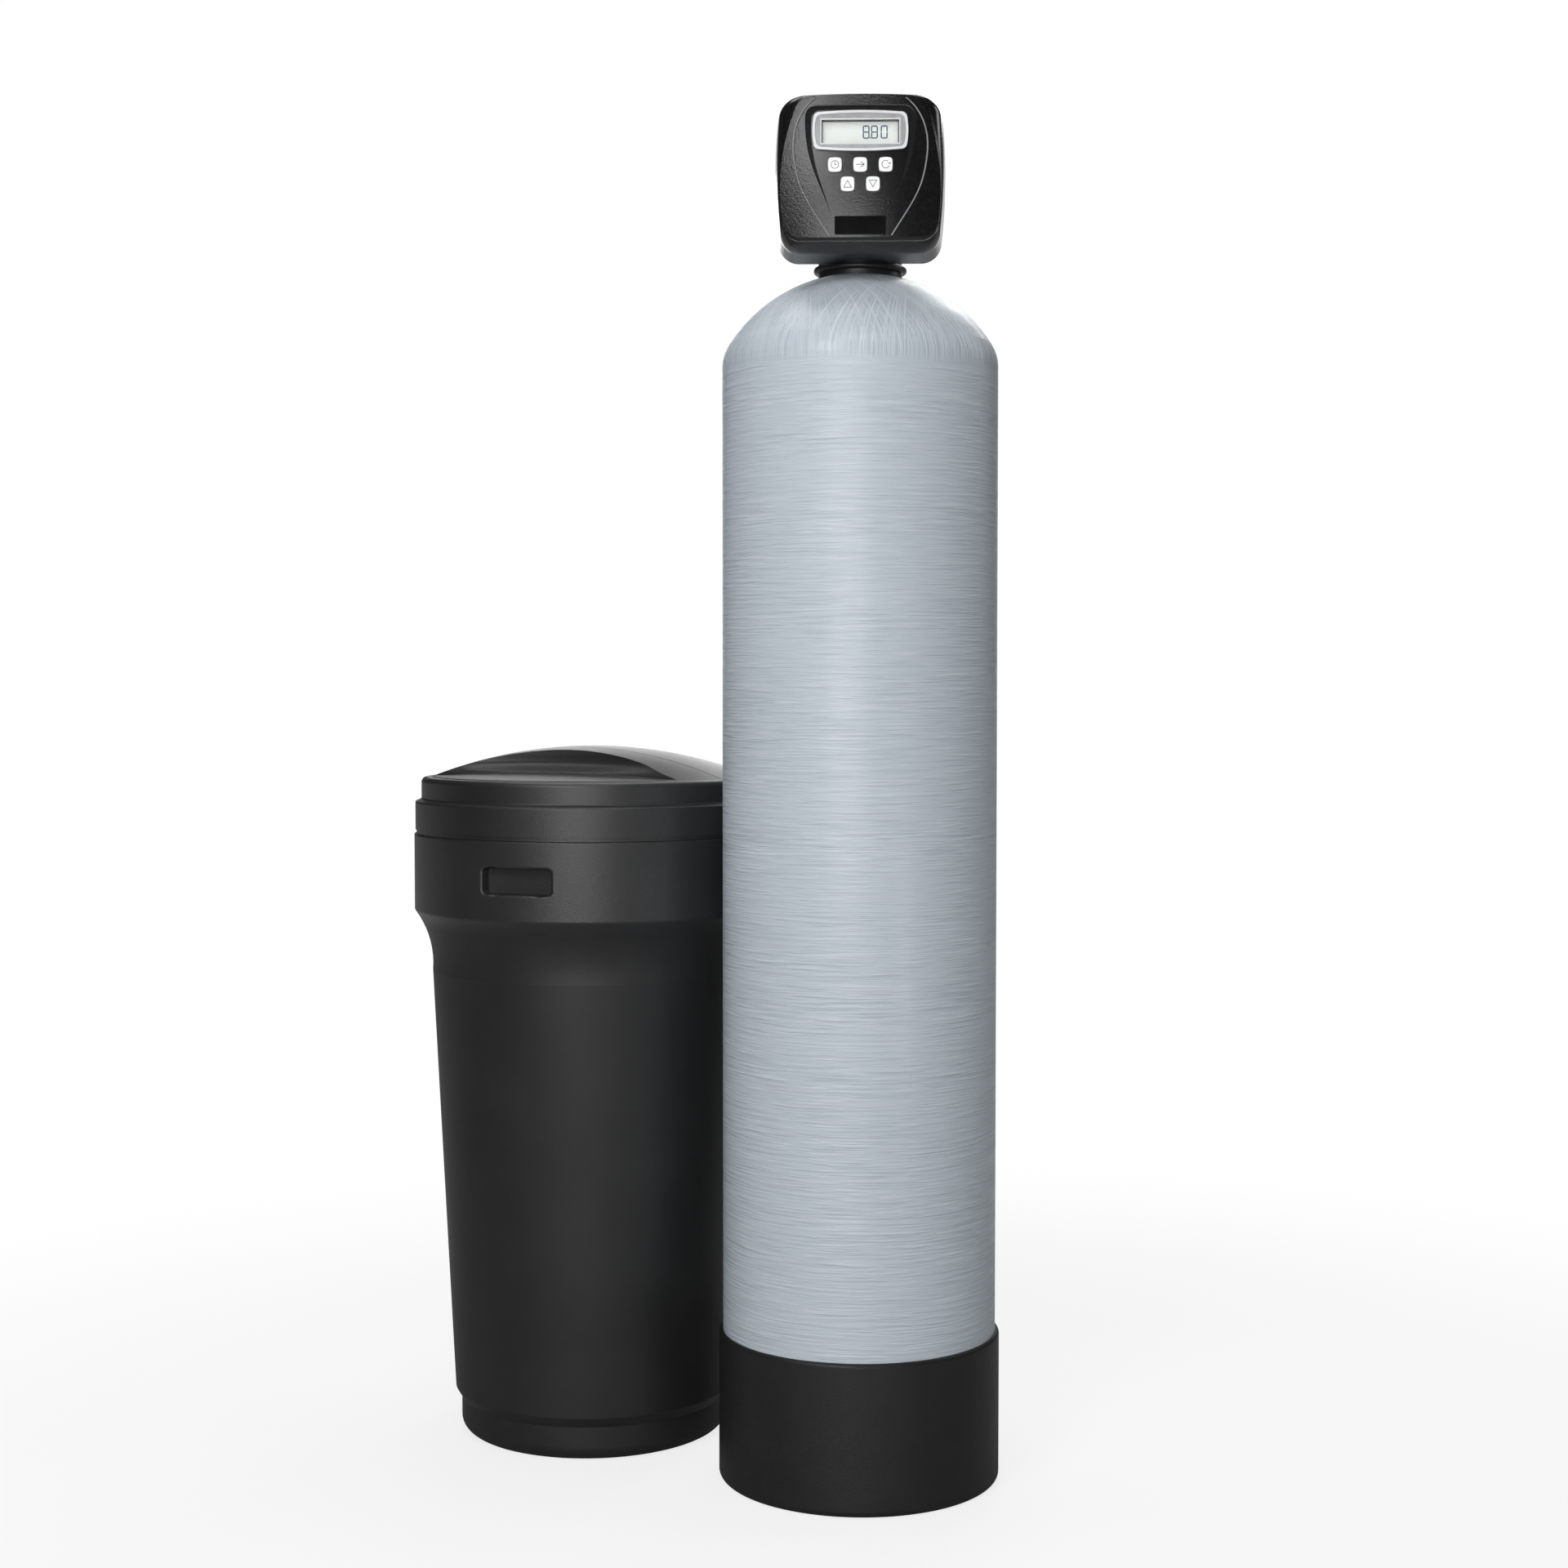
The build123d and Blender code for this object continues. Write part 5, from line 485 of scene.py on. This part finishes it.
# %% [markdown]
# ## Digits on the display
# The real display shows its reading in seven-segment figures. A segment is a slim bar with pointed ends:
# a flat cube whose two end faces are pinched. It is modelled once, and each figure is copies of it.

# %% Ink for the display and for the buttons
segment_ink = moulded("segment_ink", (0.008, 0.042, 0.100), (0.012, 0.055, 0.125), 0.0008, 0.4, 0.00005)
mark_ink = moulded("mark_ink", (0.010, 0.010, 0.011), (0.016, 0.016, 0.017), 0.0006, 0.4, 0.00005)

# %% One segment
SEGMENT_LENGTH = 0.0059
SEGMENT_WIDTH = 0.0013
SEGMENT_THICK = 0.00025
SEGMENT_PINCH = 0.25


def bar(length, width, thick, pinch):
    """An upright bar in the XZ plane whose ends are pinched to a share of its width."""
    clear_selection()
    bpy.ops.mesh.primitive_cube_add(size=1, location=(0, 0, 0), scale=(width, thick, length - width))
    made = bpy.context.object
    bpy.ops.object.transform_apply(scale=True)
    bpy.ops.object.mode_set(mode="EDIT")
    for end in (1, -1):
        bpy.ops.mesh.select_all(action="DESELECT")
        bpy.ops.object.mode_set(mode="OBJECT")
        for face in made.data.polygons:
            face.select = face.normal.z * end > 0.9
        bpy.ops.object.mode_set(mode="EDIT")
        bpy.ops.mesh.extrude_region_move(TRANSFORM_OT_translate={"value": (0, 0, end * width / 2)})
        bpy.ops.transform.resize(value=(pinch, 1, 1))
    bpy.ops.object.mode_set(mode="OBJECT")
    return made


segment = bar(SEGMENT_LENGTH, SEGMENT_WIDTH, SEGMENT_THICK, SEGMENT_PINCH)
print("segment", len(segment.data.polygons), "faces")

# %% Three figures and a point
FIGURE_SEGMENTS = {
    "8": "abcdefg",
    "0": "abcdef",
}
FIGURE_PLACES = {
    "a": (0, 1, 90), "b": (0.5, 0.5, 0), "c": (0.5, -0.5, 0), "d": (0, -1, 90),
    "e": (-0.5, -0.5, 0), "f": (-0.5, 0.5, 0), "g": (0, 0, 90),
}
FIGURE_WIDTH = 0.0060
FIGURE_RISE = 0.00625
display_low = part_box("display_module")[0]
DISPLAY_FACE = display_low.y - SEGMENT_THICK / 2
READING = [("8", 0.0061), ("8", 0.0149), ("0", 0.0252)]
READING_HEIGHT = 1.4701
POINT_PLACE = 0.0105
POINT_SHAPE = (1.1, 1, 0.24)


def figure(name, character, x):
    parts = []
    for letter in FIGURE_SEGMENTS[character]:
        side, up, turn = FIGURE_PLACES[letter]
        shift = Vector((side * FIGURE_WIDTH, 0, up * FIGURE_RISE))
        parts.append(copy_at(segment, shift, math.radians(turn)))
    made = join(parts)
    made.matrix_world = Matrix.Translation((x, DISPLAY_FACE, READING_HEIGHT)) @ made.matrix_world
    settle(made, name, segment_ink, "root")


for index, (character, x) in enumerate(READING):
    figure("figure_" + str(index), character, x)
point = copy_at(segment, Vector((POINT_PLACE, DISPLAY_FACE, READING_HEIGHT - FIGURE_RISE)))
point.scale = POINT_SHAPE
settle(point, "figure_point", segment_ink, "root")
bpy.data.objects.remove(segment)

# %% [markdown]
# ## Marks on the buttons
# The buttons carry thin printed marks. Plain pictures stand in for words: a clock for setting, an arrow
# for the next step, a ring with an arrow head for a cycle, and the outlined triangles for up and down.
# A ring is a small upright rectangle spun round its middle, and a line is the same bar as before.

# %% Rings and lines
MARK_THICK = 0.0002
MARK_WIDTH = 0.00055
MARK_PINCH = 0.6
RING_STEPS = 36


def ring(radius, share=1.0, start=0.0):
    """A flat ring in the XZ plane, or a share of one, spun from a small rectangle."""
    clear_selection()
    bpy.ops.mesh.primitive_plane_add(size=1, location=(radius, 0, 0), rotation=(math.pi / 2, 0, 0))
    made = bpy.context.object
    made.scale = (MARK_WIDTH, MARK_THICK, 1)
    bpy.ops.object.transform_apply(location=True, rotation=True, scale=True)
    bpy.ops.object.mode_set(mode="EDIT")
    bpy.ops.mesh.select_all(action="SELECT")
    bpy.ops.transform.rotate(value=math.pi / 2, orient_axis="X", center_override=(radius, 0, 0))
    bpy.ops.mesh.spin(steps=int(RING_STEPS * share), angle=math.tau * share, center=(0, 0, 0),
                      axis=(0, 1, 0))
    bpy.ops.mesh.select_all(action="SELECT")
    bpy.ops.mesh.remove_doubles(threshold=0.00001)
    bpy.ops.mesh.normals_make_consistent(inside=False)
    bpy.ops.object.mode_set(mode="OBJECT")
    made.matrix_world = Matrix.Rotation(start, 4, "Y")
    return made


def line(start, end):
    """A bar between two (x, z) places."""
    run = Vector((end[0] - start[0], end[1] - start[1]))
    made = bar(run.length + MARK_WIDTH, MARK_WIDTH, MARK_THICK, MARK_PINCH)
    turn = math.atan2(run.x, run.y)
    middle = Vector(((start[0] + end[0]) / 2, 0, (start[1] + end[1]) / 2))
    made.matrix_world = Matrix.Translation(middle) @ Matrix.Rotation(turn, 4, "Y") @ made.matrix_world
    return made


def polygon(*corners):
    """Lines from corner to corner and back to the first."""
    return [line(a, b) for a, b in zip(corners, corners[1:] + corners[:1])]


# %% A mark for each button
HALF = 0.0042
RISE = 0.0036
REACH = HALF * 0.95
CYCLE_SHARE = 0.8
CYCLE_START = math.radians(-54)


def clock_mark():
    long_hand = line((0, 0), (0, HALF * 0.6))
    short_hand = line((0, 0), (HALF * 0.45, 0))
    return [ring(REACH), long_hand, short_hand]


def next_mark():
    shaft = line((-HALF, 0), (HALF * 0.9, 0))
    barbs = [line((HALF * 0.2, way * RISE * 0.75), (HALF, 0)) for way in (1, -1)]
    return [shaft, *barbs]


def cycle_mark():
    tip = (REACH, 0.0004)
    barbs = [line(tip, end) for end in ((REACH - 0.0016, 0.0016), (REACH + 0.0013, 0.0017))]
    return [ring(REACH, CYCLE_SHARE, CYCLE_START), *barbs]


def up_mark():
    return polygon((-REACH, -RISE), (REACH, -RISE), (0, RISE))


def down_mark():
    return polygon((-REACH, RISE), (0, -RISE), (REACH, RISE))


MARKS = {
    "set_button": (clock_mark, "set_key"),
    "next_button": (next_mark, "next_key"),
    "regenerate_button": (cycle_mark, "regenerate_key"),
    "up_button": (up_mark, "up_key"),
    "down_button": (down_mark, "down_key"),
}
for node, (make, body) in MARKS.items():
    low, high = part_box(node)
    mark = join(make())
    middle = (low + high) / 2
    mark.matrix_world = Matrix.Translation((middle.x, low.y - MARK_THICK / 2, middle.z)) @ mark.matrix_world
    settle(mark, node.replace("_button", "_mark"), mark_ink, body)
print(len(MARKS), "marks on the buttons")

# %% [markdown]
# ## Floor, backdrop and light
# A product picture on white needs a floor that fades into its background but keeps the shadow. Near the
# object the floor mixes plain paint with white for camera rays, so the shadow shows. Further out the
# paint gives way to white alone, and no horizon is left. Glossy rays get the same white behind the
# object, and darkness from the sides and the front, as from a real room round a white backdrop.

# %% Which kind of ray asks
def ray_kinds(start):
    """1 for rays from the camera, from a glossy surface and through a clear one, in this order."""
    kinds = ("Camera", "Glossy", "Transmission")
    return [start.node("LightPath", out="Is " + kind + " Ray") for kind in kinds]


# %% A pale floor
FLOOR_SIZE = 60
FLOOR_PLACE = (0, 20, -0.0002)
FLOOR_DARK = (0.80, 0.80, 0.80)
FLOOR_PALE = (0.84, 0.84, 0.84)
FLOOR_BOUNCE = (0.35, 0.35, 0.35)
FLOOR_GLOW = 0.78
FLOOR_MIRRORED = 0.3
FADE_START, FADE_END = 0.7, 1.9
clear_selection()
bpy.ops.mesh.primitive_plane_add(size=FLOOR_SIZE, location=FLOOR_PLACE)
floor = bpy.context.object
bpy.ops.object.transform_apply(location=True)
floor.name = "floor"
paint = Surface("floor_paint", Roughness=0.7)
fade = (paint.x * paint.x + paint.y * paint.y).root().clamp(FADE_START, FADE_END)
behind = paint.y.clamp(0.3, 1.2)
camera_ray, glossy_ray, clear_ray = ray_kinds(paint.place)
direct = camera_ray.larger(clear_ray)
paint.feed("Base Color", direct.mix(FLOOR_BOUNCE, paint.grain(0.02).mix(FLOOR_DARK, FLOOR_PALE)))
share = direct * (FLOOR_GLOW + fade * (1 - FLOOR_GLOW)) + glossy_ray * behind * FLOOR_MIRRORED
glow = paint.place.node("Emission", sockets={"Color": (1, 1, 1, 1), "Strength": 1.0})
shaded = Wire(paint.tree, paint.shader.outputs[0])
mixed = shaded.node("MixShader", sockets={0: share, 1: shaded, 2: glow})
paint.tree.links.new(mixed.socket, paint.tree.nodes["Material Output"].inputs["Surface"])
floor.data.materials.append(paint.material)

# %% The world behind it
WORLD_LEVEL = 0.13
DARK_ROOM = 0.03
BACKDROP_START, BACKDROP_END = 0.90, 0.985
world = bpy.data.worlds.new("studio")
bpy.context.scene.world = world
world.use_nodes = True
tree = world.node_tree
sky = Wire(tree, tree.nodes["Background"].outputs[0])
backwards = sky.node("TexCoord", out="Generated").axes()[1]
backdrop = backwards.clamp(BACKDROP_START, BACKDROP_END)
camera_ray, glossy_ray, clear_ray = ray_kinds(sky)
direct = camera_ray.larger(clear_ray)
mirrored = backdrop * (1 - DARK_ROOM) + DARK_ROOM
soft = WORLD_LEVEL + glossy_ray * (mirrored - WORLD_LEVEL)
tree.nodes["Background"].inputs["Color"].default_value = (1, 1, 1, 1)
tree.links.new((direct + (1 - direct) * soft).socket, tree.nodes["Background"].inputs["Strength"])

# %% [markdown]
# Every lamp is a soft panel, because round walls show a lamp's own shape. The key panel is large and stands
# in front, a little to the left and a metre up, so the walls are brightest near their middle and fall off
# to dark sides. A second one, high on the left, lights the cover and gives its face the sheen, and a narrow
# one beside it gives the vessel its upright glint. One overhead lights the lid and the dome, a flat one
# high in front the shoulders, and small ones behind, at the right and near the floor draw the dark edges.
# Each panel has a place, a point to aim at, a width and height, and a power in watts.

# %% Soft panels
def panel(name, place, aim, size, power):
    data = bpy.data.lights.new(name, "AREA")
    data.shape = "RECTANGLE"
    data.size, data.size_y = size
    data.energy = power
    lamp = bpy.data.objects.new(name, data)
    bpy.context.scene.collection.objects.link(lamp)
    lamp.location = place
    lamp.visible_camera = False
    lamp.rotation_euler = (Vector(aim) - Vector(place)).to_track_quat("-Z", "Y").to_euler()


panel("key_panel", (-0.55, -3.25, 1.0), (-0.1, 0, 0.75), (1.8, 1.3), 41)
panel("left_panel", (-1.5, -2.7, 2.5), (-0.1, 0, 1.0), (1.1, 1.1), 33)
panel("glint_panel", (-1.0, -2.9, 2.2), (0, 0, 1.15), (0.35, 1.2), 4)
panel("top_panel", (-0.25, 0.5, 3.3), (-0.2, 0.1, 0.8), (2.2, 1.4), 38)
panel("shoulder_panel", (-0.05, -1.9, 2.95), (-0.1, 0, 1.1), (1.3, 0.4), 15)
panel("back_panel", (-0.3, 3.2, 1.5), (-0.3, 0, 0.8), (1.3, 1.2), 10)
panel("edge_panel", (1.7, 0.8, 2.05), (0, 0, 1.5), (0.5, 1.1), 4)
panel("strand_panel", (0.6, 1.9, 2.4), (0, 0, 1.25), (0.8, 0.8), 10)
panel("low_panel", (1.3, -1.8, 0.35), (0.1, 0, 0.1), (0.4, 0.4), 2.4)

# %% [markdown]
# ## The camera
# The camera stands 2.7 m in front of the vessel at about the height of the brine tank's lid, and looks
# slightly down and to the left, so that the two tanks share the frame.

# %% Camera
CAMERA_PLACE = (0, -2.705, 0.889)
PITCH = 2.391
YAW = 1.7816
FOCAL = 55.75
SENSOR = 36
camera_data = bpy.data.cameras.new("camera")
camera_data.lens = FOCAL
camera_data.sensor_width = SENSOR
camera = bpy.data.objects.new("camera", camera_data)
bpy.context.scene.collection.objects.link(camera)
camera.location = CAMERA_PLACE
camera.rotation_euler = (math.radians(90 - PITCH), 0, math.radians(YAW))
bpy.context.scene.camera = camera
bpy.context.scene.view_settings.view_transform = "Standard"
